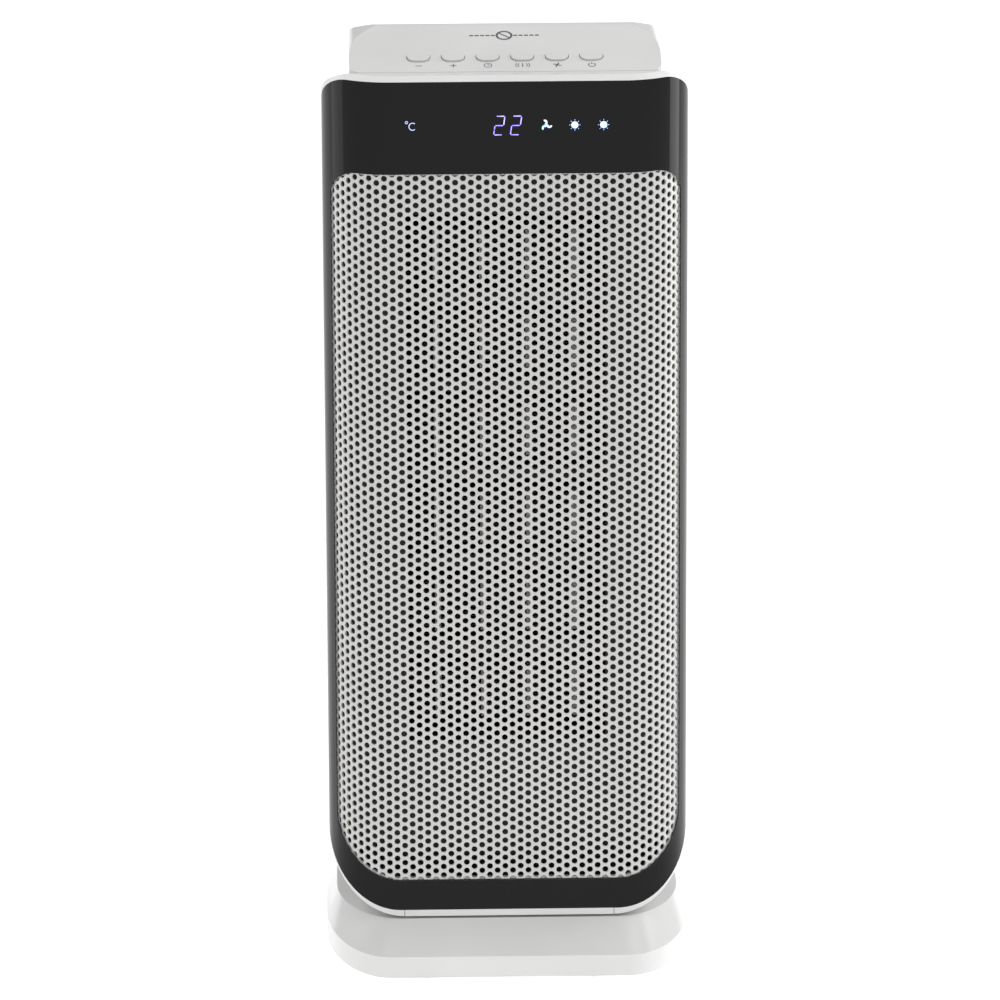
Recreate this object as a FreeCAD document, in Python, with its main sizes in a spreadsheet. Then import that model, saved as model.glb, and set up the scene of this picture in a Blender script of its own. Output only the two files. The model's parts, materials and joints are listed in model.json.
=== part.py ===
import FreeCAD, Part
import math
import os

import Sketcher

# Ceramic tower heater, in millimetres. +X is the heater's left-to-right as seen from the front, the
# front faces -Y and +Z is up. The origin lies on the floor, on the axis the tower swings about.

Vector = FreeCAD.Vector
doc = FreeCAD.newDocument("ceramic_tower_heater")

# ---------------------------------------------------------------- driving sizes

DRIVING_SIZES = [
    # base
    ("base_width", 187.0), ("base_depth", 185.0), ("foot_height", 2.0), ("base_wall_top", 13.0),
    ("base_height", 26.7), ("base_front_flat", 120.0), ("base_side_flat", 25.0),
    ("base_top_side_inset", 5.5), ("base_top_front_inset", 21.0), ("base_top_flat_trim", 12.0),
    ("base_wall", 2.5), ("base_plate_thickness", 3.0), ("foot_radius", 4.9),
    ("foot_peg_radius", 2.5), ("foot_spacing", 84.7), ("foot_edge_distance", 10.5),
    ("base_screw_across", 110.0), ("base_screw_along", 100.0),
    # tower envelope
    ("swivel_gap", 1.3), ("tower_width", 184.0), ("tower_front", 71.5), ("plan_corner", 35.0),
    ("frame_top", 465.0), ("frame_top_corner", 16.0), ("frame_bottom_corner", 40.0),
    ("frame_margin", 3.3), ("frame_side_margin", 0.5), ("frame_lip_depth", 7.5),
    ("frame_slope", 22.0), ("frame_back", 30.0), ("frame_wall", 2.5), ("fascia_thickness", 2.0),
    ("strip_width", 106.6), ("strip_gap", 0.3),
    # grille
    ("grille_bottom_margin", 19.0), ("grille_top_margin", 50.0), ("grille_side_margin", 4.5),
    ("grille_top_corner", 13.0), ("grille_bottom_corner", 33.0), ("grille_thickness", 1.0),
    ("grille_ledge", 1.0), ("fit_gap", 0.2),
    # rear shell
    ("shell_step", 6.0), ("shell_wall", 2.5), ("shell_front", 44.0), ("shell_top_corner", 25.0),
    ("shell_bottom_corner", 38.0), ("shell_back_drop", 19.5), ("shell_taper_start", 10.0),
    ("shell_back_taper", 12.0), ("shell_back_corner", 20.0), ("intake_width", 104.0),
    ("intake_bottom", 92.0), ("intake_top_margin", 23.0), ("intake_corner", 10.0),
    ("intake_gap", 0.4), ("intake_thickness", 2.5), ("slot_length", 42.0), ("slot_height", 3.2),
    ("slot_end_margin", 12.0), ("slot_rib", 6.0), ("filter_thickness", 1.6), ("filter_margin", 3.0),
    ("recess_width", 92.0), ("recess_height", 24.0), ("recess_depth", 17.0), ("recess_lift", 9.5),
    # top cover
    ("cover_step", 14.4), ("cover_front_setback", 9.0), ("cover_crest", 52.0), ("face_angle", 20.8),
    ("cover_rear_angle", 17.0), ("cover_rear_setback", 2.5), ("cover_wall", 2.5),
    ("cover_shoulder_run", 13.8), ("cover_shoulder_drop", 6.2), ("cover_front_corner", 6.0),
    ("cover_back_corner", 40.0), ("cover_side_radius", 7.5), ("cover_shoulder_radius", 34.0),
    ("cover_crest_radius", 14.0), ("cover_rear_radius", 3.0), ("compartment_margin", 8.0),
    # keys, measured up the control face from its front edge
    ("key_pitch", 17.2), ("key_width", 11.4), ("key_front", 9.4), ("key_length", 6.2),
    ("key_proud", 0.9), ("key_nose", 4.2), ("key_back_corner", 0.8), ("key_gap", 0.25),
    ("key_flange", 0.7), ("key_flange_thickness", 1.0), ("key_stem", 3.0), ("key_travel", 1.2),
    ("press_gap", 0.1), ("key_board_front", 5.0), ("key_board_back", 12.0),
    ("board_thickness", 1.6), ("switch_size", 6.0), ("switch_height", 2.0),
    # display
    ("display_height_margin", 25.5), ("display_window_height", 17.0), ("display_depth", 3.0),
    ("display_board_margin", 2.0), ("digit_width", 17.0), ("digit_height", 12.5),
    ("digit_centre", 0.7), ("led_size", 6.0), ("degree_lamp", -47.3), ("fan_lamp", 19.8),
    ("low_lamp", 34.0), ("high_lamp", 48.3),
    # heater
    ("heater_bottom_margin", 66.0), ("heater_top_margin", 26.0), ("heater_setback", 2.0),
    ("baffle_thickness", 2.0), ("baffle_lap", 8.0), ("heater_depth", 30.0), ("heater_half_width", 54.0),
    ("heater_wall", 4.0), ("column_pitch", 23.3), ("bar_width", 3.0), ("bar_height", 26.0),
    ("bar_depth", 14.0), ("bar_setback", 8.0), ("spacer_height", 6.0), ("fin_inset", 1.0),
    ("spacer_inset", 2.0), ("cutout_radius", 8.0), ("cutout_length", 6.0), ("fuse_radius", 2.0),
    ("fuse_length", 12.0),
    # blower
    ("fan_gap", 5.5), ("fan_radius", 28.5), ("blade_depth", 7.0), ("blade_thickness", 0.9),
    ("blade_lean", 2.2), ("blade_rim", 0.5), ("disc_thickness", 2.0), ("hub_radius", 8.0),
    ("hub_length", 8.0), ("shaft_radius", 3.0), ("running_gap", 0.06), ("shaft_end_gap", 2.0),
    ("scroll_gap", 7.0), ("blower_back_gap", 8.5), ("scroll_wall", 2.0), ("plate_thickness", 3.0),
    ("plate_half_width", 58.0), ("fan_end_gap", 2.0), ("motor_radius", 26.0),
    ("motor_length", 38.0), ("bearing_radius", 9.0), ("bearing_length", 6.0),
    # swing drive
    ("gear_module", 1.0), ("gear_thickness", 4.0), ("gear_backlash", 0.12),
    ("spindle_radius", 22.0), ("spindle_wall", 4.0), ("turntable_radius", 29.0),
    ("turntable_thickness", 3.0), ("washer_radius", 30.0), ("washer_thickness", 2.2),
    ("drive_motor_radius", 18.0), ("drive_motor_height", 10.0), ("drive_shaft_radius", 2.0),
    ("bearing_ring_radius", 44.0), ("bearing_ring_width", 7.0), ("lift_gap", 0.3),
    # small parts
    ("screw_radius", 1.5), ("screw_head_radius", 3.0), ("screw_head_height", 2.2),
    ("screw_clearance", 0.25), ("body_screw_length", 30.8), ("screw_tip_room", 5.0),
    ("boss_radius", 4.0), ("post_offset", 30.0), ("post_top_margin", 45.0),
    ("post_bottom_margin", 10.0), ("post_end", 50.0), ("boss_ring_radius", 5.5),
    ("rocker_height", 35.0), ("rocker_length", 19.0), ("rocker_radius", 8.6), ("rocker_gap", 0.4),
    ("rocker_depth", 16.0), ("rocker_flange", 3.0), ("rocker_flange_thickness", 1.5),
    ("rocker_tilt", 7.0), ("rocker_valley", 9.0), ("rocker_pivot_depth", 3.0),
    ("rocker_valley_depth", 0.4), ("rocker_valley_radius", 3.0), ("rocker_body_depth", 4.0),
    ("plunger_radius", 3.0), ("plunger_length", 13.0), ("tip_switch_size", 14.0),
    ("tip_switch_height", 15.5), ("tip_switch_x", 58.0), ("gland_radius", 4.6), ("gland_bore", 3.6),
    ("gland_height", 7.5), ("gland_flange", 1.2), ("gland_rim", 0.8), ("gland_length", 9.0),
    ("power_board_length", 120.0), ("power_board_depth", 60.0), ("power_board_height", 40.0),
    ("power_board_gap", 6.0), ("relay_size", 15.0), ("relay_rise", 4.0), ("relay_pitch", 28.0),
    ("relay_start", 10.0), ("relay_edge", 5.0), ("capacitor_y", 10.0), ("capacitor_start", 30.0),
]
GEAR_TEETH = 72
PINION_TEETH = 16
PRESSURE_ANGLE = math.radians(20)
FAN_BLADES = 24
HEATER_MODULES = 6
INTAKE_SLOTS = 34
# share of the wheel radius where the duct wall begins behind the wheel
SCROLL_START = 0.7
KEY_NAMES = ["key_down", "key_up", "key_timer", "key_swing", "key_mode", "key_power"]
KEY_COLUMNS = [-2.5, -1.5, -0.5, 0.5, 1.5, 2.5]

sheet = doc.addObject("Spreadsheet::Sheet", "Sizes")
for row, (alias, number) in enumerate(DRIVING_SIZES, start=1):
    sheet.set("A%d" % row, alias)
    sheet.set("B%d" % row, str(number))
    sheet.setAlias("B%d" % row, alias)
doc.recompute()


class Size:
    """A length or angle that knows both its number and the sheet expression it comes from."""

    def __init__(self, number, text):
        self.number = number
        self.text = text

    @staticmethod
    def of(value):
        return value if isinstance(value, Size) else Size(float(value), repr(float(value)))

    def __add__(self, other):
        other = Size.of(other)
        return Size(self.number + other.number, "(%s + %s)" % (self.text, other.text))

    def __sub__(self, other):
        other = Size.of(other)
        return Size(self.number - other.number, "(%s - %s)" % (self.text, other.text))

    def __mul__(self, other):
        other = Size.of(other)
        return Size(self.number * other.number, "(%s * %s)" % (self.text, other.text))

    def __truediv__(self, other):
        other = Size.of(other)
        return Size(self.number / other.number, "(%s / %s)" % (self.text, other.text))

    def __rsub__(self, other):
        return Size.of(other) - self

    def __neg__(self):
        return self * -1

    __radd__ = __add__
    __rmul__ = __mul__


class Sizes:
    """The sheet's aliases as Size values: size.tower_width and so on."""

    def __getattr__(self, alias):
        return Size(float(sheet.get(alias)), "Sizes." + alias)


size = Sizes()


def tangent_of(angle):
    return Size(math.tan(math.radians(angle.number)), "tan(%s)" % angle.text)


def cosine_of(angle):
    return Size(math.cos(math.radians(angle.number)), "cos(%s)" % angle.text)


# ---------------------------------------------------------------- ways of making a solid

PLANE_ROLES = {"XY": "XY_Plane", "XZ": "XZ_Plane", "YZ": "YZ_Plane"}


def origin_plane(body, plane):
    return [item for item in body.Origin.OriginFeatures if item.Role == PLANE_ROLES[plane]][0]


def draw_outline(sketch, corners):
    """Closed outline, anticlockwise, through (x, y, radius) corners; a radius of 0 is a sharp corner."""
    corners = [tuple(Size.of(value) for value in corner) for corner in corners]
    points = [Vector(x.number, y.number, 0) for x, y, _ in corners]
    count = len(points)
    arrivals, departures, centres = [], [], []
    for index, point in enumerate(points):
        radius = corners[index][2].number
        back = (points[index - 1] - point).normalize()
        onward = (points[(index + 1) % count] - point).normalize()
        half = back.getAngle(onward) / 2
        arrivals.append(point + back * (radius / math.tan(half)))
        departures.append(point + onward * (radius / math.tan(half)))
        centres.append(point + (back + onward).normalize() * (radius / math.sin(half)) if radius else None)
    sides = [
        sketch.addGeometry(Part.LineSegment(departures[index], arrivals[(index + 1) % count]))
        for index in range(count)
    ]
    constraints, bindings = [], []
    for index, (x, y, radius) in enumerate(corners):
        before, after = sides[index - 1], sides[index]
        centre = centres[index]
        if centre is None:
            constraints.append(Sketcher.Constraint("Coincident", before, 2, after, 1))
            place = after
        else:
            arrive, depart = arrivals[index] - centre, departures[index] - centre
            start, end = math.atan2(arrive.y, arrive.x), math.atan2(depart.y, depart.x)
            turns_left = arrive.cross(depart).z > 0
            if not turns_left:
                start, end = end, start
            if end < start:
                end += 2 * math.pi
            circle = Part.Circle(centre, Vector(0, 0, 1), radius.number)
            arc = sketch.addGeometry(Part.ArcOfCircle(circle, start, end))
            first, last = (1, 2) if turns_left else (2, 1)
            constraints.append(Sketcher.Constraint("Tangent", before, 2, arc, first))
            constraints.append(Sketcher.Constraint("Tangent", arc, last, after, 1))
            place = sketch.addGeometry(Part.Point(points[index]), True)
            constraints.append(Sketcher.Constraint("PointOnObject", place, 1, before))
            constraints.append(Sketcher.Constraint("PointOnObject", place, 1, after))
            bindings.append((len(constraints), radius))
            constraints.append(Sketcher.Constraint("Radius", arc, radius.number))
        bindings.append((len(constraints), x))
        constraints.append(Sketcher.Constraint("DistanceX", place, 1, x.number))
        bindings.append((len(constraints), y))
        constraints.append(Sketcher.Constraint("DistanceY", place, 1, y.number))
    already = sketch.ConstraintCount
    sketch.addConstraint(constraints)
    for index, value in bindings:
        sketch.setExpression("Constraints[%d]" % (already + index), value.text)


def add_sketch(body, name, plane, level):
    """A sketch on the body's own origin plane, moved to a level along the world axis across it."""
    sketch = body.newObject("Sketcher::SketchObject", name)
    sketch.AttachmentSupport = [(origin_plane(body, plane), "")]
    sketch.MapMode = "FlatFace"
    level = Size.of(level)
    sketch.setExpression(".AttachmentOffset.Base.z", (-level if plane == "XZ" else level).text)
    return sketch


def prism(name, plane, corners, low, high):
    """A body padded from an outline, from low to high along the axis across the plane."""
    low, high = Size.of(low), Size.of(high)
    body = doc.addObject("PartDesign::Body", name)
    sketch = add_sketch(body, name + "_outline", plane, high if plane == "XZ" else low)
    draw_outline(sketch, corners)
    pad = body.newObject("PartDesign::Pad", name + "_pad")
    pad.Profile = sketch
    pad.setExpression("Length", (high - low).text)
    return body


def place(item, x=0, y=0, z=0):
    for axis, value in (("x", x), ("y", y), ("z", z)):
        item.setExpression(".Placement.Base." + axis, Size.of(value).text)
    return item


def box(name, x_range, y_range, z_range):
    item = doc.addObject("Part::Box", name)
    lows, highs = zip(*[(Size.of(low), Size.of(high)) for low, high in (x_range, y_range, z_range)])
    for side, low, high in zip(("Length", "Width", "Height"), lows, highs):
        item.setExpression(side, (high - low).text)
    return place(item, *lows)


AXIS_TURNS = {
    "X": FreeCAD.Rotation(Vector(0, 1, 0), 90),
    "Y": FreeCAD.Rotation(Vector(1, 0, 0), -90),
    "Z": FreeCAD.Rotation(),
}


def rod(name, axis, radius, low, high, across):
    """A cylinder from low to high along an axis; across gives the other two coordinates in order."""
    item = doc.addObject("Part::Cylinder", name)
    item.setExpression("Radius", Size.of(radius).text)
    item.setExpression("Height", (Size.of(high) - low).text)
    item.Placement = FreeCAD.Placement(Vector(), AXIS_TURNS[axis])
    first, second = across
    spot = {"X": (low, first, second), "Y": (first, low, second), "Z": (first, second, low)}[axis]
    return place(item, *spot)


def cut(name, base, *tools):
    """The base with every tool taken away."""
    tool = tools[0] if len(tools) == 1 else fuse(name + "_tools", *tools)
    item = doc.addObject("Part::Cut", name)
    item.Base, item.Tool = base, tool
    return item


def fuse(name, *shapes):
    item = doc.addObject("Part::MultiFuse", name)
    item.Shapes = list(shapes)
    return item


def common(name, *shapes):
    item = doc.addObject("Part::MultiCommon", name)
    item.Shapes = list(shapes)
    return item


def group(name, *shapes):
    """Separate identical solids that share one node."""
    item = doc.addObject("Part::Compound", name)
    item.Links = list(shapes)
    return item


def ring(name, axis, outer, inner, low, high, across):
    return cut(
        name,
        rod(name + "_outer", axis, outer, low, high, across),
        rod(name + "_inner", axis, inner, low, high, across),
    )


def feature(name, shape):
    item = doc.addObject("Part::Feature", name)
    item.Shape = shape
    return item


nodes = []


def node(item):
    """Marks an object as one of the heater's sub-parts, written under its own label."""
    nodes.append(item)
    return item


# ---------------------------------------------------------------- levels shared by several parts

tower_bottom = size.base_height + size.swivel_gap
tower_half = size.tower_width / 2
grille_bottom = tower_bottom + size.grille_bottom_margin
grille_top = size.frame_top - size.grille_top_margin
heater_bottom = grille_bottom + size.heater_bottom_margin
heater_top = grille_top - size.heater_top_margin
plate_top = size.foot_height + size.base_plate_thickness
base_ceiling = size.base_height - size.base_wall
shell_half = tower_half - size.shell_step
cover_half = tower_half - size.cover_step
# the depth of the tower builds up from the heater, the blower and its duct
shell_front_y = -size.shell_front
heater_face = shell_front_y + size.heater_setback
heater_back = heater_face + size.heater_depth
fan_axis_y = heater_back + size.fan_gap + size.fan_radius
plate_rear = fan_axis_y + size.fan_radius + size.scroll_gap
shell_back = plate_rear + size.blower_back_gap + size.shell_wall
# how far a cutting tool runs past the faces it cuts
BEYOND = 20
OVERCUT = 1


# ---------------------------------------------------------------- base

def base_outline(inset, level, half_x, half_y, flat_x, flat_y):
    """Rectangle with quarter-ellipse corners at one height, as a wire."""
    far_x, far_y = half_x - inset, half_y - inset
    near_x, near_y = flat_x / 2, flat_y / 2
    edges = []
    quarters = [(1, 1, 0), (-1, 1, 90), (-1, -1, 180), (1, -1, 270)]
    corner_x, corner_y = far_x - near_x, far_y - near_y
    for sign_x, sign_y, start in quarters:
        centre = Vector(sign_x * near_x, sign_y * near_y, level)
        if corner_x > corner_y:
            oval = Part.Ellipse(centre, corner_x, corner_y)
            turn = 0
        else:
            oval = Part.Ellipse(
                centre + Vector(0, corner_y, 0), centre - Vector(corner_x, 0, 0), centre
            )
            turn = -90
        arc = oval.toShape(math.radians(start + turn), math.radians(start + turn + 90))
        edges.append(arc)
    corners = [(edge.valueAt(edge.FirstParameter), edge.valueAt(edge.LastParameter)) for edge in edges]
    joined = []
    for index, edge in enumerate(edges):
        joined.append(edge)
        joined.append(Part.LineSegment(corners[index][1], corners[(index + 1) % 4][0]).toShape())
    return Part.Wire(joined)


def base_block(inset, low, top):
    """The base's outer form, shrunk on every side by inset, between two heights."""
    half_x, half_y = size.base_width.number / 2, size.base_depth.number / 2
    flat_x, flat_y = size.base_front_flat.number, size.base_side_flat.number
    shoulder = size.base_wall_top.number
    lower = [base_outline(inset, level, half_x, half_y, flat_x, flat_y) for level in (low, shoulder)]
    upper = base_outline(
        inset,
        top,
        half_x - size.base_top_side_inset.number,
        half_y - size.base_top_front_inset.number,
        flat_x - size.base_top_flat_trim.number,
        flat_y,
    )
    wall = Part.makeLoft(lower, True, True)
    crown = Part.makeLoft([lower[1], upper], True, True)
    return wall.fuse(crown)


base_outer = feature("base_outer", base_block(0, size.foot_height.number, size.base_height.number))
base_hollow = feature(
    "base_hollow",
    base_block(size.base_wall.number, size.foot_height.number, base_ceiling.number),
)
screw_spots = [
    (across * size.base_screw_across / 2, along * size.base_screw_along / 2)
    for across in (-1, 1)
    for along in (-1, 1)
]
base_bosses = [
    rod("base_boss_%d" % index, "Z", size.boss_radius, plate_top, base_ceiling, spot)
    for index, spot in enumerate(screw_spots)
]
boss_holes = [
    rod("boss_hole_%d" % index, "Z", size.screw_radius, plate_top, size.base_wall_top, spot)
    for index, spot in enumerate(screw_spots)
]
gland_spot = (0, size.gland_height)
base_back = size.base_depth / 2
gland_inner_end = base_back - size.gland_length
gland_rim_radius = size.gland_radius + size.gland_rim
node(
    cut(
        "base_cover",
        fuse("base_cover_body", cut("base_cover_shell", base_outer, base_hollow), *base_bosses),
        rod(
            "spindle_hole", "Z", size.spindle_radius + size.running_gap,
            base_ceiling - BEYOND, size.base_height + BEYOND, (0, 0),
        ),
        rod("gland_hole", "Y", size.gland_radius, base_back - BEYOND, base_back + BEYOND, gland_spot),
        rod("gland_rim_seat", "Y", gland_rim_radius, base_back - size.gland_flange, base_back + 1,
            gland_spot),
        *boss_holes,
    )
)

foot_y = size.base_depth / 2 - size.foot_edge_distance
foot_spots = [
    (across * size.foot_spacing / 2, along * foot_y) for across in (-1, 1) for along in (-1, 1)
]
tip_spot = (-size.tip_switch_x, 0)
base_plate_blank = feature(
    "base_plate_blank",
    base_block(size.base_wall.number + size.fit_gap.number, size.foot_height.number,
               base_ceiling.number),
)
node(
    cut(
        "base_plate",
        common(
            "base_plate_slice",
            base_plate_blank,
            box("base_plate_level", (-size.base_width, size.base_width),
                (-size.base_depth, size.base_depth), (size.foot_height, plate_top)),
        ),
        rod("plunger_hole", "Z", size.plunger_radius + size.running_gap, 0, plate_top, tip_spot),
        rod("gland_notch", "Y", size.gland_radius + size.fit_gap, gland_inner_end - size.fit_gap,
            base_back, gland_spot),
        *[
            rod("foot_hole_%d" % index, "Z", size.foot_peg_radius, size.foot_height, plate_top, spot)
            for index, spot in enumerate(foot_spots)
        ],
        *[
            rod("base_screw_hole_%d" % index, "Z", size.screw_radius + size.screw_clearance,
                size.foot_height, plate_top, spot)
            for index, spot in enumerate(screw_spots)
        ],
        *[
            rod("base_screw_sink_%d" % index, "Z", size.screw_head_radius + size.screw_clearance,
                size.foot_height, size.foot_height + size.screw_head_height, spot)
            for index, spot in enumerate(screw_spots)
        ],
    )
)
node(
    group(
        "rubber_feet",
        *[
            fuse(
                "foot_%d" % index,
                rod("foot_pad_%d" % index, "Z", size.foot_radius, 0, size.foot_height, spot),
                rod("foot_peg_%d" % index, "Z", size.foot_peg_radius, size.foot_height, plate_top, spot),
            )
            for index, spot in enumerate(foot_spots)
        ],
    )
)
node(
    group(
        "base_screws",
        *[
            fuse(
                "base_screw_%d" % index,
                rod("base_screw_head_%d" % index, "Z", size.screw_head_radius, size.foot_height,
                    size.foot_height + size.screw_head_height, spot),
                rod("base_screw_shank_%d" % index, "Z", size.screw_radius, size.foot_height,
                    size.base_wall_top, spot),
            )
            for index, spot in enumerate(screw_spots)
        ],
    )
)
node(
    cut(
        "cord_gland",
        fuse(
            "gland_body",
            rod("gland_sleeve", "Y", size.gland_radius, gland_inner_end, base_back, gland_spot),
            rod("gland_flange_disc", "Y", gland_rim_radius, base_back - size.gland_flange, base_back,
                gland_spot),
        ),
        rod("gland_bore_hole", "Y", size.gland_bore, base_back - BEYOND, base_back + BEYOND, gland_spot),
    )
)

tip_half = size.tip_switch_size / 2
node(
    cut(
        "tip_switch",
        box("tip_switch_case", (-size.tip_switch_x - tip_half, -size.tip_switch_x + tip_half),
            (-tip_half, tip_half), (plate_top, plate_top + size.tip_switch_height)),
        rod("tip_switch_bore", "Z", size.plunger_radius + size.running_gap, plate_top,
            size.plunger_length + size.lift_gap, tip_spot),
    )
)
node(rod("tip_plunger", "Z", size.plunger_radius, 0, size.plunger_length, tip_spot))


# ---------------------------------------------------------------- swing drive

def gear_outline(teeth, module, backlash, tip_factor):
    """Points round an involute gear centred on the origin, a tooth centred on +X."""
    pitch = teeth * module / 2
    base = pitch * math.cos(PRESSURE_ANGLE)
    tip = pitch + tip_factor * module
    root = pitch - (tip_factor + 0.25) * module
    involute = math.tan(PRESSURE_ANGLE) - PRESSURE_ANGLE
    half_tooth = math.pi / (2 * teeth) - backlash / pitch
    start = max(base, root)
    flank = []
    for step in range(5):
        radius = start + (tip - start) * step / 4
        slope = math.acos(min(1.0, base / radius))
        flank.append((radius, half_tooth + involute - (math.tan(slope) - slope)))
    if root < base:
        flank.insert(0, (root, flank[0][1]))
    points = []
    for tooth in range(teeth):
        middle = 2 * math.pi * tooth / teeth
        points += [(radius, middle - angle) for radius, angle in flank]
        points += [(radius, middle + angle) for radius, angle in reversed(flank)]
    return [Vector(radius * math.cos(angle), radius * math.sin(angle), 0) for radius, angle in points]


def gear(name, teeth, turn, centre, bore, low):
    """A spur gear with a round bore, its bottom face at height low."""
    outline = gear_outline(teeth, size.gear_module.number, size.gear_backlash.number, 0.9)
    disc = Part.Face(Part.makePolygon(outline + outline[:1])).extrude(
        Vector(0, 0, size.gear_thickness.number)
    )
    item = feature(name, disc.cut(Part.makeCylinder(bore.number, size.gear_thickness.number)))
    item.Placement = FreeCAD.Placement(
        Vector(0, centre.number, low.number), FreeCAD.Rotation(Vector(0, 0, 1), turn)
    )
    return item


washer_top = base_ceiling - size.lift_gap
gear_top = washer_top - size.washer_thickness
gear_low = gear_top - size.gear_thickness
centre_distance = size.gear_module * (GEAR_TEETH + PINION_TEETH) / 2
shell_floor = tower_bottom + size.shell_wall
turntable_top = shell_floor + size.turntable_thickness
node(
    cut(
        "turntable",
        fuse(
            "turntable_body",
            rod("turntable_flange", "Z", size.turntable_radius, shell_floor, turntable_top, (0, 0)),
            rod("turntable_spindle", "Z", size.spindle_radius, gear_low, turntable_top, (0, 0)),
        ),
        rod("spindle_bore", "Z", size.spindle_radius - size.spindle_wall, gear_low - BEYOND,
            turntable_top + BEYOND, (0, 0)),
    )
)
node(gear("swing_gear", GEAR_TEETH, 90, Size.of(0), size.spindle_radius, gear_low))
node(ring("swivel_washer", "Z", size.washer_radius, size.spindle_radius, gear_top, washer_top, (0, 0)))
node(
    ring("bearing_ring", "Z", size.bearing_ring_radius, size.bearing_ring_radius - size.bearing_ring_width,
         size.base_height, tower_bottom - size.lift_gap, (0, 0))
)
half_pinion_tooth = 180 / PINION_TEETH
node(
    gear("swing_pinion", PINION_TEETH, -90 + half_pinion_tooth, centre_distance,
         size.drive_shaft_radius, gear_low)
)
pinion_spot = (0, centre_distance)
drive_top = plate_top + size.drive_motor_height
drive_bore = size.drive_shaft_radius + size.running_gap
node(
    cut(
        "swing_motor",
        rod("swing_motor_case", "Z", size.drive_motor_radius, plate_top, drive_top, pinion_spot),
        rod("swing_motor_bore", "Z", drive_bore, plate_top + size.board_thickness, drive_top, pinion_spot),
    )
)
node(
    rod("swing_shaft", "Z", size.drive_shaft_radius, plate_top + size.board_thickness + size.lift_gap,
        gear_top, pinion_spot)
)


# ---------------------------------------------------------------- front of the tower

def plan_outline(depth, back):
    """Plan of the front skin at a depth below its outer face, open backwards to y = back."""
    half = tower_half - depth
    front = -size.tower_front + depth
    radius = size.plan_corner - depth
    return [(-half, front, radius), (half, front, radius), (half, back, 0), (-half, back, 0)]


def front_outline(side, below, above, bottom_corner, top_corner):
    """Front view outline with its own margins from the frame's edge."""
    half = tower_half - side
    low, high = tower_bottom + below, size.frame_top - above
    return [
        (-half, low, bottom_corner), (half, low, bottom_corner),
        (half, high, top_corner), (-half, high, top_corner),
    ]


frame_rear = -size.frame_back
skin_depth = size.fascia_thickness + size.frame_wall
low_level, high_level = tower_bottom - BEYOND, size.frame_top + BEYOND
lip_y = -size.tower_front + size.frame_lip_depth
frame_tangent = tangent_of(size.frame_slope)
frame_rear_top = size.frame_top - frame_tangent * (-lip_y + frame_rear)


def frame_envelope(name, inset):
    """The tower's front half as one block, shrunk by inset on every side but the rear."""
    margin = Size.of(inset)
    front = -size.tower_front + margin
    rear = frame_rear if inset == 0 else frame_rear + BEYOND
    top = size.frame_top - margin
    rear_top = frame_rear_top - margin - (frame_tangent * BEYOND if inset != 0 else 0)
    return common(
        name,
        prism(name + "_plan", "XY", plan_outline(margin, rear), low_level, high_level),
        prism(
            name + "_front", "XZ",
            front_outline(margin, margin, margin, size.frame_bottom_corner - margin,
                          size.frame_top_corner - margin),
            front - BEYOND, rear + BEYOND,
        ),
        prism(
            name + "_side", "YZ",
            [(front - BEYOND, low_level, 0), (rear, low_level, 0), (rear, rear_top, 0),
             (lip_y, top, 0), (front - BEYOND, top, 0)],
            -size.tower_width, size.tower_width,
        ),
    )


def front_block(name, side, below, above, bottom_corner, top_corner, rear):
    """A front-view outline pushed through the front skin to y = rear."""
    corners = front_outline(side, below, above, bottom_corner, top_corner)
    return prism(name, "XZ", corners, -size.tower_front - BEYOND, rear)


def skin(name, outer, inner, rear):
    """A curved sheet that follows the front skin between two depths, back to y = rear."""
    inside = plan_outline(inner, rear + BEYOND)
    return cut(
        name,
        prism(name + "_outer", "XY", plan_outline(outer, rear), low_level, high_level),
        prism(name + "_inner", "XY", inside, low_level - BEYOND, high_level + BEYOND),
    )


# the black fascia ends where the corner has turned the skin far enough to meet the side margin
fascia_sine = (size.plan_corner - size.frame_side_margin) / size.plan_corner
fascia_rear = Size(
    -size.tower_front.number + size.plan_corner.number
    - size.plan_corner.number * math.sqrt(1 - fascia_sine.number ** 2),
    "(Sizes.plan_corner - Sizes.tower_front - Sizes.plan_corner * sqrt(1 - %s * %s))"
    % (fascia_sine.text, fascia_sine.text),
)
opening = (size.grille_side_margin, size.grille_bottom_margin, size.grille_top_margin,
           size.grille_bottom_corner, size.grille_top_corner)


def opening_block(name, shrink, rear):
    """The grille opening made smaller all round by shrink, pushed back to y = rear."""
    side, below, above, bottom_corner, top_corner = opening
    return front_block(name, side + shrink, below + shrink, above + shrink,
                       bottom_corner - shrink, top_corner - shrink, rear)


fascia_corner_bottom = size.frame_bottom_corner - size.frame_margin
fascia_corner_top = size.frame_top_corner - size.frame_margin
fascia_sheet = common(
    "fascia_sheet",
    skin("fascia_skin", Size.of(0), size.fascia_thickness, fascia_rear),
    front_block("fascia_outline_block", size.frame_side_margin, size.frame_margin, size.frame_margin,
                fascia_corner_bottom, fascia_corner_top, fascia_rear),
)
node(cut("front_fascia", fascia_sheet, opening_block("fascia_opening", 0, fascia_rear + BEYOND)))

display_level = size.frame_top - size.display_height_margin
window_half = size.display_window_height / 2
strip_half = size.strip_width / 2
strip_top = tower_bottom + size.frame_margin
strip_rear = -size.tower_front + size.frame_lip_depth
post_x = tower_half - size.post_offset
post_levels = (tower_bottom + size.post_bottom_margin, size.frame_top - size.post_top_margin)
post_spots = [(side * post_x, level) for side in (-1, 1) for level in post_levels]
post_front = -size.tower_front + size.fascia_thickness + size.frame_wall / 2
ring_front = size.post_end + size.lift_gap
head_seat = ring_front + size.shell_wall * 3
screw_tip = head_seat - size.body_screw_length
compartment_half = cover_half - size.compartment_margin
compartment_front = lip_y + size.frame_wall
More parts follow.
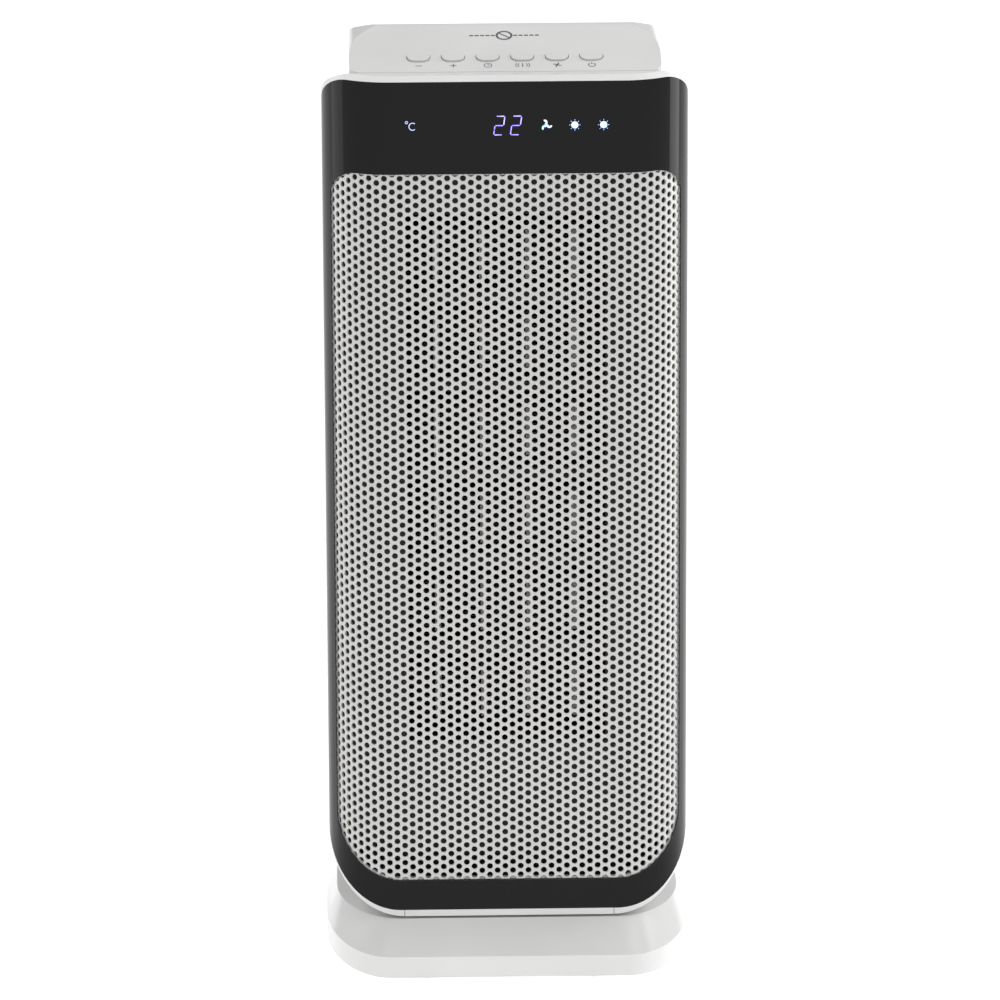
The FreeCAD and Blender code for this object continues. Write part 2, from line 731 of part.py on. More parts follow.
# the posts stay inside the rear shell's counterbored rings
frame_body = fuse(
    "frame_body",
    cut(
        "frame_shell",
        frame_envelope("frame_outer", 0),
        frame_envelope("frame_hollow", skin_depth),
        opening_block("frame_opening", size.grille_ledge, -size.frame_back),
    ),
    *[
        rod("screw_post_%d" % index, "Y", size.boss_radius, post_front, size.post_end, spot)
        for index, spot in enumerate(post_spots)
    ],
)
front_frame = cut(
    "front_frame",
    frame_body,
    common(
        "fascia_seat",
        skin("fascia_seat_skin", Size.of(0), size.fascia_thickness, fascia_rear),
        front_block("fascia_seat_outline", size.frame_side_margin, size.frame_margin,
                    size.frame_margin, fascia_corner_bottom, fascia_corner_top, fascia_rear),
    ),
    box("display_window", (-strip_half, strip_half),
        (-size.tower_front - BEYOND, -size.tower_front + skin_depth + OVERCUT),
        (display_level - window_half, display_level + window_half)),
    box("control_opening", (-compartment_half, compartment_half), (compartment_front, frame_rear + OVERCUT),
        (post_levels[1] + size.boss_radius + OVERCUT, size.frame_top + BEYOND)),
    box("strip_seat", (-strip_half - size.strip_gap, strip_half + size.strip_gap),
        (-size.tower_front - BEYOND, strip_rear), (tower_bottom - BEYOND, strip_top)),
    *[
        rod("post_hole_%d" % index, "Y", size.screw_radius, screw_tip - size.screw_tip_room,
            size.post_end, spot)
        for index, spot in enumerate(post_spots)
    ],
)
node(front_frame)
node(
    box("rim_strip", (-strip_half, strip_half), (-size.tower_front, strip_rear),
        (tower_bottom, strip_top))
)

grille_outer = size.fascia_thickness - size.grille_thickness
node(
    common(
        "front_grille",
        skin("grille_skin", grille_outer, size.fascia_thickness, frame_rear),
        opening_block("grille_outline", size.fit_gap, frame_rear),
    )
)


# ---------------------------------------------------------------- rear shell

back_half = shell_half - size.shell_back_taper
shell_rear_top = frame_rear_top - size.shell_back_drop
rear_slope = size.shell_back_drop / (shell_back + size.frame_back)


def shell_block(name, inset, front):
    """The rear shell's outer form shrunk by inset, starting at y = front."""
    margin = Size.of(inset)
    half, narrow, back = shell_half - margin, back_half - margin, shell_back - margin
    corner = size.shell_back_corner - margin
    low = tower_bottom + margin
    front_top = frame_rear_top - skin_depth - size.fit_gap - margin
    rear_top = shell_rear_top - margin
    side = [
        (front, low, 0), (back + BEYOND, low, 0), (back + BEYOND, rear_top - rear_slope * BEYOND, 0),
        (frame_rear, rear_top + size.shell_back_drop - size.fit_gap, 0),
        (frame_rear - size.fit_gap, front_top, 0), (front, front_top, 0),
    ]
    return common(
        name,
        prism(
            name + "_plan", "XY",
            [(-half, front, 0), (half, front, 0), (half, size.shell_taper_start, 0),
             (narrow, back, corner), (-narrow, back, corner), (-half, size.shell_taper_start, 0)],
            low_level, high_level,
        ),
        prism(
            name + "_front", "XZ",
            [(-half, low, size.shell_bottom_corner - margin),
             (half, low, size.shell_bottom_corner - margin),
             (half, frame_rear_top - margin, size.shell_top_corner - margin),
             (-half, frame_rear_top - margin, size.shell_top_corner - margin)],
            front - BEYOND, back + BEYOND,
        ),
        prism(name + "_side", "YZ", side, -size.tower_width, size.tower_width),
    )


intake_half = size.intake_width / 2
intake_top = grille_top - size.intake_top_margin
recess_low = intake_top + size.recess_lift
recess_high = recess_low + size.recess_height
recess_half = size.recess_width / 2
recess_floor = shell_back - size.recess_depth
rocker_level = tower_bottom + size.rocker_height
rocker_half_z = size.rocker_radius + size.rocker_gap + size.shell_wall
rocker_half_x = size.rocker_length / 2 + size.rocker_gap + size.shell_wall
shell_walls = fuse(
    "shell_walls",
    cut("shell_hollowed", shell_block("shell_outer", 0, shell_front_y),
        shell_block("shell_hollow", size.shell_wall, shell_front_y - BEYOND)),
    box("recess_bucket", (-recess_half - size.shell_wall, recess_half + size.shell_wall),
        (recess_floor - size.shell_wall, shell_back - size.shell_wall / 2),
        (recess_low - size.shell_wall, recess_high + size.shell_wall)),
    *[
        rod("shell_ring_%d" % index, "Y", size.boss_ring_radius, ring_front,
            shell_back - size.shell_wall / 2, spot)
        for index, spot in enumerate(post_spots)
    ],
)
rear_shell = cut(
    "rear_shell",
    shell_walls,
    box("recess_void", (-recess_half, recess_half), (recess_floor, shell_back + BEYOND),
        (recess_low, recess_high)),
    box("shell_top_opening", (-compartment_half, compartment_half),
        (shell_front_y - BEYOND, recess_floor - size.shell_wall * 2),
        (recess_high + size.shell_wall * 2, size.frame_top + BEYOND)),
    prism(
        "intake_opening", "XZ",
        [(-intake_half, size.intake_bottom, size.intake_corner),
         (intake_half, size.intake_bottom, size.intake_corner),
         (intake_half, intake_top, size.intake_corner), (-intake_half, intake_top, size.intake_corner)],
        shell_back - size.shell_wall - OVERCUT, shell_back + BEYOND,
    ),
    cut(
        "frame_keepout",
        frame_envelope("frame_keepout_outer", 0),
        frame_envelope("frame_keepout_inner", skin_depth + size.fit_gap),
    ),
    rod("shell_spindle_hole", "Z", size.spindle_radius + size.fit_gap, tower_bottom - OVERCUT,
        shell_floor + OVERCUT, (0, 0)),
    box("rocker_cutout", (-rocker_half_x, rocker_half_x), (shell_back - BEYOND, shell_back + OVERCUT),
        (rocker_level - rocker_half_z, rocker_level + rocker_half_z)),
    *[
        rod("shank_hole_%d" % index, "Y", size.screw_radius + size.screw_clearance, ring_front - OVERCUT,
            shell_back + OVERCUT, spot)
        for index, spot in enumerate(post_spots)
    ],
    *[
        rod("head_hole_%d" % index, "Y", size.screw_head_radius + size.screw_clearance, head_seat,
            shell_back + OVERCUT, spot)
        for index, spot in enumerate(post_spots)
    ],
)
node(rear_shell)
node(
    group(
        "body_screws",
        *[
            fuse(
                "body_screw_%d" % index,
                rod("body_screw_head_%d" % index, "Y", size.screw_head_radius, head_seat,
                    head_seat + size.screw_head_height, spot),
                rod("body_screw_shank_%d" % index, "Y", size.screw_radius, screw_tip, head_seat, spot),
            )
            for index, spot in enumerate(post_spots)
        ],
    )
)

# rear intake: a slotted cover with the dust filter clipped behind it
intake_face = shell_back
intake_back = intake_face - size.intake_thickness
gap = size.intake_gap
intake_height = intake_top - size.intake_bottom - gap * 2
slot_row = size.intake_bottom + gap + size.slot_end_margin
intake_cover = prism(
    "intake_cover", "XZ",
    [(-intake_half + gap, size.intake_bottom + gap, size.intake_corner - gap),
     (intake_half - gap, size.intake_bottom + gap, size.intake_corner - gap),
     (intake_half - gap, intake_top - gap, size.intake_corner - gap),
     (-intake_half + gap, intake_top - gap, size.intake_corner - gap)],
    intake_back, intake_face,
)
slot_round = size.slot_height * 0.45
slot_sketch = add_sketch(intake_cover, "slot_outline", "XZ", intake_back)
slot_middle = (size.slot_length + size.slot_rib) / 2
for side in (-1, 1):
    centre = slot_middle * side
    draw_outline(
        slot_sketch,
        [(centre - size.slot_length / 2, slot_row, slot_round),
         (centre + size.slot_length / 2, slot_row, slot_round),
         (centre + size.slot_length / 2, slot_row + size.slot_height, slot_round),
         (centre - size.slot_length / 2, slot_row + size.slot_height, slot_round)],
    )
slot_pocket = intake_cover.newObject("PartDesign::Pocket", "slot_pocket")
slot_pocket.Profile = slot_sketch
slot_pocket.Type = "ThroughAll"
slot_pattern = intake_cover.newObject("PartDesign::LinearPattern", "slot_pattern")
slot_pattern.Originals = [slot_pocket]
slot_pattern.Direction = (slot_sketch, ["V_Axis"])
slot_pattern.Occurrences = INTAKE_SLOTS
slot_pattern.setExpression("Length", (intake_height - size.slot_end_margin * 2 - size.slot_height).text)
intake_cover.Tip = slot_pattern
node(intake_cover)
filter_margin = size.filter_margin
node(
    prism(
        "dust_filter", "XZ",
        [(-intake_half + filter_margin, size.intake_bottom + filter_margin, size.intake_corner),
         (intake_half - filter_margin, size.intake_bottom + filter_margin, size.intake_corner),
         (intake_half - filter_margin, intake_top - filter_margin, size.intake_corner),
         (-intake_half + filter_margin, intake_top - filter_margin, size.intake_corner)],
        intake_back - size.filter_thickness, intake_back,
    )
)

# mains rocker in its frame
pivot_y = shell_back - size.rocker_pivot_depth
rocker_body_y = pivot_y - size.rocker_body_depth
frame_depth_y = shell_back - size.rocker_depth
rocker_frame_x = rocker_half_x - size.fit_gap
rocker_frame_z = rocker_half_z - size.fit_gap
flange_half_x = rocker_half_x + size.rocker_flange - size.shell_wall
flange_half_z = rocker_half_z + size.rocker_flange - size.shell_wall
cavity_z = size.rocker_radius + size.rocker_gap
cavity_x = size.rocker_length / 2 + size.rocker_gap
flange_face = shell_back + size.rocker_flange_thickness
node(
    cut(
        "rocker_frame",
        fuse(
            "rocker_frame_body",
            box("rocker_case", (-rocker_frame_x, rocker_frame_x), (frame_depth_y, shell_back),
                (rocker_level - rocker_frame_z, rocker_level + rocker_frame_z)),
            box("rocker_flange_plate", (-flange_half_x, flange_half_x), (shell_back, flange_face),
                (rocker_level - flange_half_z, rocker_level + flange_half_z)),
        ),
        box("rocker_cavity", (-cavity_x, cavity_x), (pivot_y - cavity_z, flange_face + OVERCUT),
            (rocker_level - cavity_z, rocker_level + cavity_z)),
    )
)
valley_y = flange_face - size.rocker_valley_depth
pressed_rise = size.rocker_radius * tangent_of(size.rocker_valley - size.rocker_tilt)
raised_rise = size.rocker_radius * tangent_of(size.rocker_valley + size.rocker_tilt)
node(
    common(
        "mains_rocker",
        rod("rocker_drum", "X", size.rocker_radius, -size.rocker_length / 2, size.rocker_length / 2,
            (pivot_y, rocker_level)),
        prism(
            "rocker_faces", "YZ",
            [(rocker_body_y, rocker_level - size.rocker_radius, 0),
             (valley_y + raised_rise, rocker_level - size.rocker_radius, 0),
             (valley_y, rocker_level, size.rocker_valley_radius),
             (valley_y + pressed_rise, rocker_level + size.rocker_radius, 0),
             (rocker_body_y, rocker_level + size.rocker_radius, 0)],
            -size.rocker_length / 2, size.rocker_length / 2,
        ),
    )
)


# ---------------------------------------------------------------- top cover and keys

cover_front_y = -size.tower_front + size.cover_front_setback
crest_y = -size.tower_front + size.cover_crest
crest_run = crest_y - cover_front_y
crest_z = size.frame_top + tangent_of(size.face_angle) * crest_run
cover_rear_y = shell_back - size.cover_rear_setback
cover_rear_z = crest_z - tangent_of(size.cover_rear_angle) * (cover_rear_y - crest_y)


def seat_level(y):
    """Height of the frame's sloping top at a depth behind its lip."""
    return size.frame_top - frame_tangent * (y - lip_y)


def cover_block(name, inset):
    """The top cover's outer form, shrunk by inset and deepened below its seat when inset."""
    margin = Size.of(inset)
    down = 0 if inset == 0 else BEYOND
    half = cover_half - margin
    front, rear = cover_front_y + margin, cover_rear_y - margin
    drop = margin / cosine_of(size.face_angle)
    shoulder_x = half - size.cover_shoulder_run
    low = tower_bottom
    side = [
        (front, seat_level(front) - down, 0), (frame_rear, frame_rear_top - down, 0),
        (rear, frame_rear_top - rear_slope * (rear - frame_rear) - down, 0),
        (rear, cover_rear_z - drop, size.cover_rear_radius),
        (crest_y, crest_z - drop, size.cover_crest_radius),
        (front, size.frame_top - drop + tangent_of(size.face_angle) * margin, 0),
    ]
    return common(
        name,
        prism(
            name + "_plan", "XY",
            [(-half, front, size.cover_front_corner - margin),
             (half, front, size.cover_front_corner - margin),
             (half, rear, size.cover_back_corner - margin), (-half, rear, size.cover_back_corner - margin)],
            low_level, crest_z + BEYOND,
        ),
        prism(
            name + "_front", "XZ",
            [(-half, low, 0), (half, low, 0),
             (half, crest_z - margin - size.cover_shoulder_drop, size.cover_side_radius),
             (shoulder_x, crest_z - margin, size.cover_shoulder_radius),
             (-shoulder_x, crest_z - margin, size.cover_shoulder_radius),
             (-half, crest_z - margin - size.cover_shoulder_drop, size.cover_side_radius)],
            front - BEYOND, rear + BEYOND,
        ),
        prism(name + "_side", "YZ", side, -size.tower_width, size.tower_width),
    )


def lay_on_face(item, x):
    """Puts an object drawn flat at the origin on the sloping control face, at x across it."""
    item.Placement = FreeCAD.Placement(Vector(), FreeCAD.Rotation(Vector(1, 0, 0), size.face_angle.number))
    item.setExpression(".Placement.Rotation.Angle", "Sizes.face_angle * 1 deg")
    return place(item, x, cover_front_y, size.frame_top)


def key_outline(grow):
    """Tongue shape of a key: straight at the back, round-nosed at the front."""
    half = size.key_width / 2 + grow
    front, back = size.key_front - grow, size.key_front + size.key_length + grow
    nose, heel = size.key_nose, size.key_back_corner
    return [(-half, front, nose), (half, front, nose), (half, back, heel), (-half, back, heel)]


key_slots = []
for index, column in enumerate(KEY_COLUMNS):
    slot = prism("key_slot_%d" % index, "XY", key_outline(size.key_gap), -size.cover_wall * 2, BEYOND)
    key_slots.append(lay_on_face(slot, column * size.key_pitch))
node(
    cut("top_cover", cover_block("cover_outer", 0), cover_block("cover_hollow", size.cover_wall), *key_slots)
)

flange_top = -size.cover_wall - size.lift_gap
flange_low = flange_top - size.key_flange_thickness
stem_low = flange_low - size.board_thickness
switch_top = stem_low - size.key_travel - size.press_gap
board_top = switch_top - size.switch_height
key_middle = size.key_front + size.key_length / 2
stem_half = size.key_stem / 2
for name, column in zip(KEY_NAMES, KEY_COLUMNS):
    key = fuse(
        name,
        prism(name + "_cap", "XY", key_outline(Size.of(0)), flange_top, size.key_proud),
        prism(name + "_flange", "XY", key_outline(size.key_flange), flange_low, flange_top),
        box(name + "_stem", (-stem_half, stem_half), (key_middle - stem_half, key_middle + stem_half),
            (stem_low, flange_low)),
    )
    node(lay_on_face(key, column * size.key_pitch))

board_half = size.key_pitch * 3
key_board = group(
    "key_board",
    box("key_board_blank", (-board_half, board_half),
        (size.key_front - size.key_board_front, size.key_front + size.key_board_back),
        (board_top - size.board_thickness, board_top)),
)
node(lay_on_face(key_board, 0))
switch_half = size.switch_size / 2
tact_switches = group(
    "tact_switches",
    *[
        box("tact_switch_%d" % index,
            (column * size.key_pitch - switch_half, column * size.key_pitch + switch_half),
            (key_middle - switch_half, key_middle + switch_half), (board_top, switch_top))
        for index, column in enumerate(KEY_COLUMNS)
    ],
)
node(lay_on_face(tact_switches, 0))


# ---------------------------------------------------------------- display

fascia_back_y = -size.tower_front + size.fascia_thickness
led_front = fascia_back_y + size.lift_gap
display_face = -size.tower_front + skin_depth + size.display_depth
board_margin = size.display_board_margin
node(
    box("display_board", (-strip_half - board_margin, strip_half + board_margin),
        (display_face, display_face + size.board_thickness),
        (display_level - window_half - board_margin, display_level + window_half + board_margin))
)
node(
    box("digit_module", (size.digit_centre - size.digit_width / 2, size.digit_centre + size.digit_width / 2),
        (led_front, display_face),
        (display_level - size.digit_height / 2, display_level + size.digit_height / 2))
)
led_half = size.led_size / 2
lamp_places = [size.degree_lamp, size.fan_lamp, size.low_lamp, size.high_lamp]
node(
    group(
        "indicator_leds",
        *[
            box("led_%d" % index, (spot - led_half, spot + led_half), (led_front, display_face),
                (display_level - led_half, display_level + led_half))
            for index, spot in enumerate(lamp_places)
        ],
    )
)


# ---------------------------------------------------------------- ceramic heating element

inner_half = size.heater_half_width - size.heater_wall
module_pitch = (heater_top - heater_bottom) / HEATER_MODULES
bar_front = heater_face + size.bar_setback
bar_back = bar_front + size.bar_depth
node(
    cut(
        "heater_frame",
        box("heater_frame_block", (-size.heater_half_width, size.heater_half_width),
            (heater_face, heater_back),
            (heater_bottom - size.heater_wall, heater_top + size.heater_wall)),
        box("heater_frame_opening", (-inner_half, inner_half), (heater_face - OVERCUT, heater_back + OVERCUT),
            (heater_bottom, heater_top)),
    )
)
baffle_rear = shell_front_y - size.fit_gap
node(
    cut(
        "outlet_baffle",
        common(
            "baffle_sheet",
            frame_envelope("baffle_space", skin_depth + size.fit_gap),
            box("baffle_slab", (-size.tower_width, size.tower_width),
                (baffle_rear - size.baffle_thickness, baffle_rear),
                (tower_bottom, grille_top + size.baffle_lap)),
        ),
        box("baffle_opening", (-inner_half, inner_half), (baffle_rear - BEYOND, baffle_rear + OVERCUT),
            (heater_bottom, heater_top)),
        *[
            rod("baffle_post_hole_%d" % index, "Y", size.boss_radius + size.fit_gap,
                baffle_rear - BEYOND, baffle_rear + OVERCUT, spot)
            for index, spot in enumerate(post_spots)
        ],
    )
)
module_centres = [heater_bottom + module_pitch * (step + 0.5) for step in range(HEATER_MODULES)]
bar_columns = [size.column_pitch * step for step in (-1.5, -0.5, 0.5, 1.5)]
bar_edges = [-inner_half] + [
    edge for column in bar_columns for edge in (column - size.bar_width / 2, column + size.bar_width / 2)
] + [inner_half]
bars, packs = [], []
for row, level in enumerate(module_centres):
    low, high = level - size.bar_height / 2, level + size.bar_height / 2
    for number, column in enumerate(bar_columns):
        bars.append(
            box("bar_%d_%d" % (row, number), (column - size.bar_width / 2, column + size.bar_width / 2),
                (bar_front, bar_back), (low, high))
        )
    for number in range(len(bar_columns) + 1):
        left, right = bar_edges[2 * number], bar_edges[2 * number + 1]
        packs.append(
            box("fins_%d_%d" % (row, number), (left, right),
                (bar_front + size.fin_inset, bar_back - size.fin_inset),
                (low, high))
        )
node(group("ceramic_bars", *bars))
node(group("fin_packs", *packs))
spacers = [
    box("spacer_%d" % row, (-inner_half, inner_half),
        (bar_front + size.spacer_inset, bar_back - size.spacer_inset),
        (heater_bottom + module_pitch * row - size.spacer_height / 2,
         heater_bottom + module_pitch * row + size.spacer_height / 2))
    for row in range(1, HEATER_MODULES)
]
node(group("heater_spacers", *spacers))
heater_middle = (heater_face + heater_back) / 2
node(
    rod("thermal_cutout", "X", size.cutout_radius, size.heater_half_width,
        size.heater_half_width + size.cutout_length, (heater_middle, heater_top - module_pitch))
)
fuse_x = size.heater_half_width + size.fuse_radius
node(
    rod("thermal_fuse", "Z", size.fuse_radius, heater_bottom + module_pitch,
        heater_bottom + module_pitch + size.fuse_length, (fuse_x, heater_middle))
)


# ---------------------------------------------------------------- cross-flow blower

fan_spot = (0, fan_axis_y)
wheel_low = heater_bottom - size.heater_wall
wheel_high = heater_top + size.heater_wall
lower_plate_top = wheel_low - size.fan_end_gap
upper_plate_low = wheel_high + size.fan_end_gap


def wheel_disc(body, name, low, thickness, inner):
    """Adds a flat ring, or a disc when inner is None, to the wheel's body."""
    sketch = add_sketch(body, name + "_outline", "XY", low)
    rims = [(size.fan_radius, 0)] + ([(inner, 1)] if inner is not None else [])
    for radius, number in rims:
        sketch.addGeometry(Part.Circle(Vector(), Vector(0, 0, 1), radius.number))
        sketch.addConstraint(Sketcher.Constraint("Coincident", number, 3, -1, 1))
        index = sketch.addConstraint(Sketcher.Constraint("Radius", number, radius.number))
        sketch.setExpression("Constraints[%d]" % index, radius.text)
    pad = body.newObject("PartDesign::Pad", name + "_pad")
    pad.Profile = sketch
    pad.setExpression("Length", thickness.text)


fan_wheel = doc.addObject("PartDesign::Body", "fan_wheel")
wheel_disc(fan_wheel, "lower_disc", wheel_low, size.disc_thickness, size.shaft_radius)
blade_sketch = add_sketch(fan_wheel, "blade_outline", "XY", wheel_low + size.disc_thickness)
blade_inner = size.fan_radius - size.blade_depth
blade_lean, blade_tip = size.blade_lean, size.fan_radius - size.blade_rim
draw_outline(
    blade_sketch,
    [(blade_inner, 0, 0), (blade_tip, blade_lean, 0),
     (blade_tip, size.blade_thickness + blade_lean, 0),
     (blade_inner, size.blade_thickness, 0)],
)
blade_pad = fan_wheel.newObject("PartDesign::Pad", "blade_pad")
blade_pad.Profile = blade_sketch
blade_pad.setExpression("Length", (wheel_high - wheel_low - size.disc_thickness * 2).text)
blade_pattern = fan_wheel.newObject("PartDesign::PolarPattern", "blade_pattern")
blade_pattern.Originals = [blade_pad]
blade_pattern.Axis = (blade_sketch, ["N_Axis"])
blade_pattern.Angle = 360
blade_pattern.Occurrences = FAN_BLADES
fan_wheel.Tip = blade_pattern
wheel_disc(fan_wheel, "upper_disc", wheel_high - size.disc_thickness, size.disc_thickness,
           size.shaft_radius)
wheel_middle = (wheel_low + wheel_high) / 2
wheel_disc(fan_wheel, "middle_disc", wheel_middle - size.disc_thickness / 2, size.disc_thickness,
           blade_inner + size.blade_rim)
place(fan_wheel, 0, fan_axis_y, 0)
node(fan_wheel)
motor_low = lower_plate_top - size.plate_thickness - size.motor_length
shaft_top = wheel_low + size.disc_thickness + size.hub_length
node(rod("fan_shaft", "Z", size.shaft_radius, motor_low + size.shaft_end_gap, shaft_top, fan_spot))
stub_low = wheel_high - size.disc_thickness - size.hub_length
node(
    rod("fan_stub", "Z", size.shaft_radius, stub_low, upper_plate_low + size.bearing_length, fan_spot)
)
node(
    group(
        "fan_hubs",
        ring("lower_hub", "Z", size.hub_radius, size.shaft_radius, wheel_low + size.disc_thickness,
             shaft_top, fan_spot),
        ring("upper_hub", "Z", size.hub_radius, size.shaft_radius, stub_low,
             wheel_high - size.disc_thickness, fan_spot),
    )
)

plate_x = (-size.plate_half_width, size.plate_half_width)
shaft_bore = size.shaft_radius + size.running_gap
node(
    cut(
        "blower_base_plate",
        box("blower_base_block", plate_x, (heater_back, plate_rear),
            (lower_plate_top - size.plate_thickness, lower_plate_top)),
        rod("blower_base_hole", "Z", size.hub_radius, lower_plate_top - BEYOND,
            lower_plate_top + OVERCUT, fan_spot),
    )
)
node(
    cut(
        "blower_top_plate",
        box("blower_top_block", plate_x, (heater_back, plate_rear),
            (upper_plate_low, upper_plate_low + size.plate_thickness)),
        rod("blower_top_hole", "Z", size.bearing_radius, upper_plate_low - OVERCUT,
            upper_plate_low + BEYOND, fan_spot),
    )
)
node(
    ring("upper_bearing", "Z", size.bearing_radius, shaft_bore, upper_plate_low,
         upper_plate_low + size.bearing_length, fan_spot)
)
node(
    cut(
        "fan_motor",
        rod("fan_motor_case", "Z", size.motor_radius, motor_low, motor_low + size.motor_length, fan_spot),
        rod("fan_motor_bore", "Z", shaft_bore, motor_low + size.shaft_end_gap / 2,
            motor_low + size.motor_length + OVERCUT, fan_spot),
    )
)

scroll_inner = size.fan_radius + size.scroll_gap
scroll_outer = scroll_inner + size.scroll_wall


def scroll_side(name, side):
    """One wall of the blower's duct: an arc beside the wheel that opens out to the heater."""
    arc = common(
        name + "_arc",
        ring(name + "_ring", "Z", scroll_outer, scroll_inner, lower_plate_top, upper_plate_low, fan_spot),
        box(name + "_arc_side", sorted_range(side, size.fan_radius * SCROLL_START, size.plate_half_width),
            (fan_axis_y, plate_rear), (lower_plate_top, upper_plate_low)),
    )
    corners = [
        (side * scroll_inner, fan_axis_y, 0), (side * scroll_outer, fan_axis_y, 0),
        (side * (size.heater_half_width - size.heater_wall + size.scroll_wall), heater_back, 0),
        (side * inner_half, heater_back, 0),
    ]
    throat = prism(name + "_throat", "XY", corners[:: -side], lower_plate_top, upper_plate_low)
    return fuse(name, arc, throat)


def sorted_range(side, near, far):
    return (near, far) if side > 0 else (-far, -near)


node(scroll_side("scroll_wall", -1))
node(scroll_side("cutoff_wall", 1))


# ---------------------------------------------------------------- power electronics

board_x = -shell_half + size.shell_wall + size.power_board_gap
board_low = tower_bottom + size.power_board_height
board_front_y = -size.power_board_depth / 2
node(
    box("power_board", (board_x, board_x + size.board_thickness), (board_front_y, -board_front_y),
        (board_low, board_low + size.power_board_length))
)
relay_x = board_x + size.board_thickness
relay_y = board_front_y + size.relay_edge
relay_low = board_low + size.relay_start
node(
    group(
        "relays",
        *[
            box("relay_%d" % step, (relay_x, relay_x + size.relay_size),
                (relay_y, relay_y + size.relay_size),
                (relay_low + size.relay_pitch * step,
                 relay_low + size.relay_pitch * step + size.relay_size + size.relay_rise))
            for step in range(3)
        ],
    )
)
node(
    rod("board_capacitor", "X", size.relay_size / 2, relay_x, relay_x + size.relay_size,
        (size.capacitor_y, board_low + size.capacitor_start))
)


# ---------------------------------------------------------------- check and write

doc.recompute()
for item in doc.Objects:
    if "Invalid" in item.State or "Error" in item.State:
        raise RuntimeError("%s did not rebuild: %s" % (item.Name, item.getStatusString()))
for item in nodes:
    if item.Shape.isNull() or not item.Shape.isValid() or item.Shape.Volume <= 0:
        raise RuntimeError("%s has no valid solid" % item.Label)

os.makedirs("parts", exist_ok=True)
for item in nodes:
    item.Shape.exportStep(os.path.join("parts", item.Label + ".step"))
    print("%-18s %2d solid(s) %10.1f mm3" % (item.Label, len(item.Shape.Solids), item.Shape.Volume))
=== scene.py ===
"""Looks of the ceramic tower heater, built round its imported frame."""

import json
import logging
import math
from dataclasses import dataclass, field
from enum import Enum
from typing import Callable, Iterable, Union

import bmesh
import bpy
from mathutils import Matrix, Vector


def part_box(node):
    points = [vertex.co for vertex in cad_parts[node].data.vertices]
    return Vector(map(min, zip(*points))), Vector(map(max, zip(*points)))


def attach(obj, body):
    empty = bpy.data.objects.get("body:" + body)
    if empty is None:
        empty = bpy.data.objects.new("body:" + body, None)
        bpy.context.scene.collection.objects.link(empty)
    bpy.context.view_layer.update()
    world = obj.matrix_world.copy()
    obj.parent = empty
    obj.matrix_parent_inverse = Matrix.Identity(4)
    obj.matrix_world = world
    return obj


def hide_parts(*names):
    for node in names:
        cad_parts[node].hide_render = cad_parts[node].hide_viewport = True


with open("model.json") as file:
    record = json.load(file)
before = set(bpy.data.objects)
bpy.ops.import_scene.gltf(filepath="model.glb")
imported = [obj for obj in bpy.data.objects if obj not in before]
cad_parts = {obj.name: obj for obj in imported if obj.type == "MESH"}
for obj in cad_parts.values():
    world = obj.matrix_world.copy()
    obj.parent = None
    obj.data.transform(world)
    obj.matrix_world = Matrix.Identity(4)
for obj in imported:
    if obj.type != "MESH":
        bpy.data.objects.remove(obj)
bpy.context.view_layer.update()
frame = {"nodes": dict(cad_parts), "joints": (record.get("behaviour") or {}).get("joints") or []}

MM = 0.001
TOWER = "tower"

Colour = tuple[float, float, float]
Feed = Union[bpy.types.NodeSocket, float, Colour]

log = logging.getLogger("heater")


# ---------------------------------------------------------------- node work


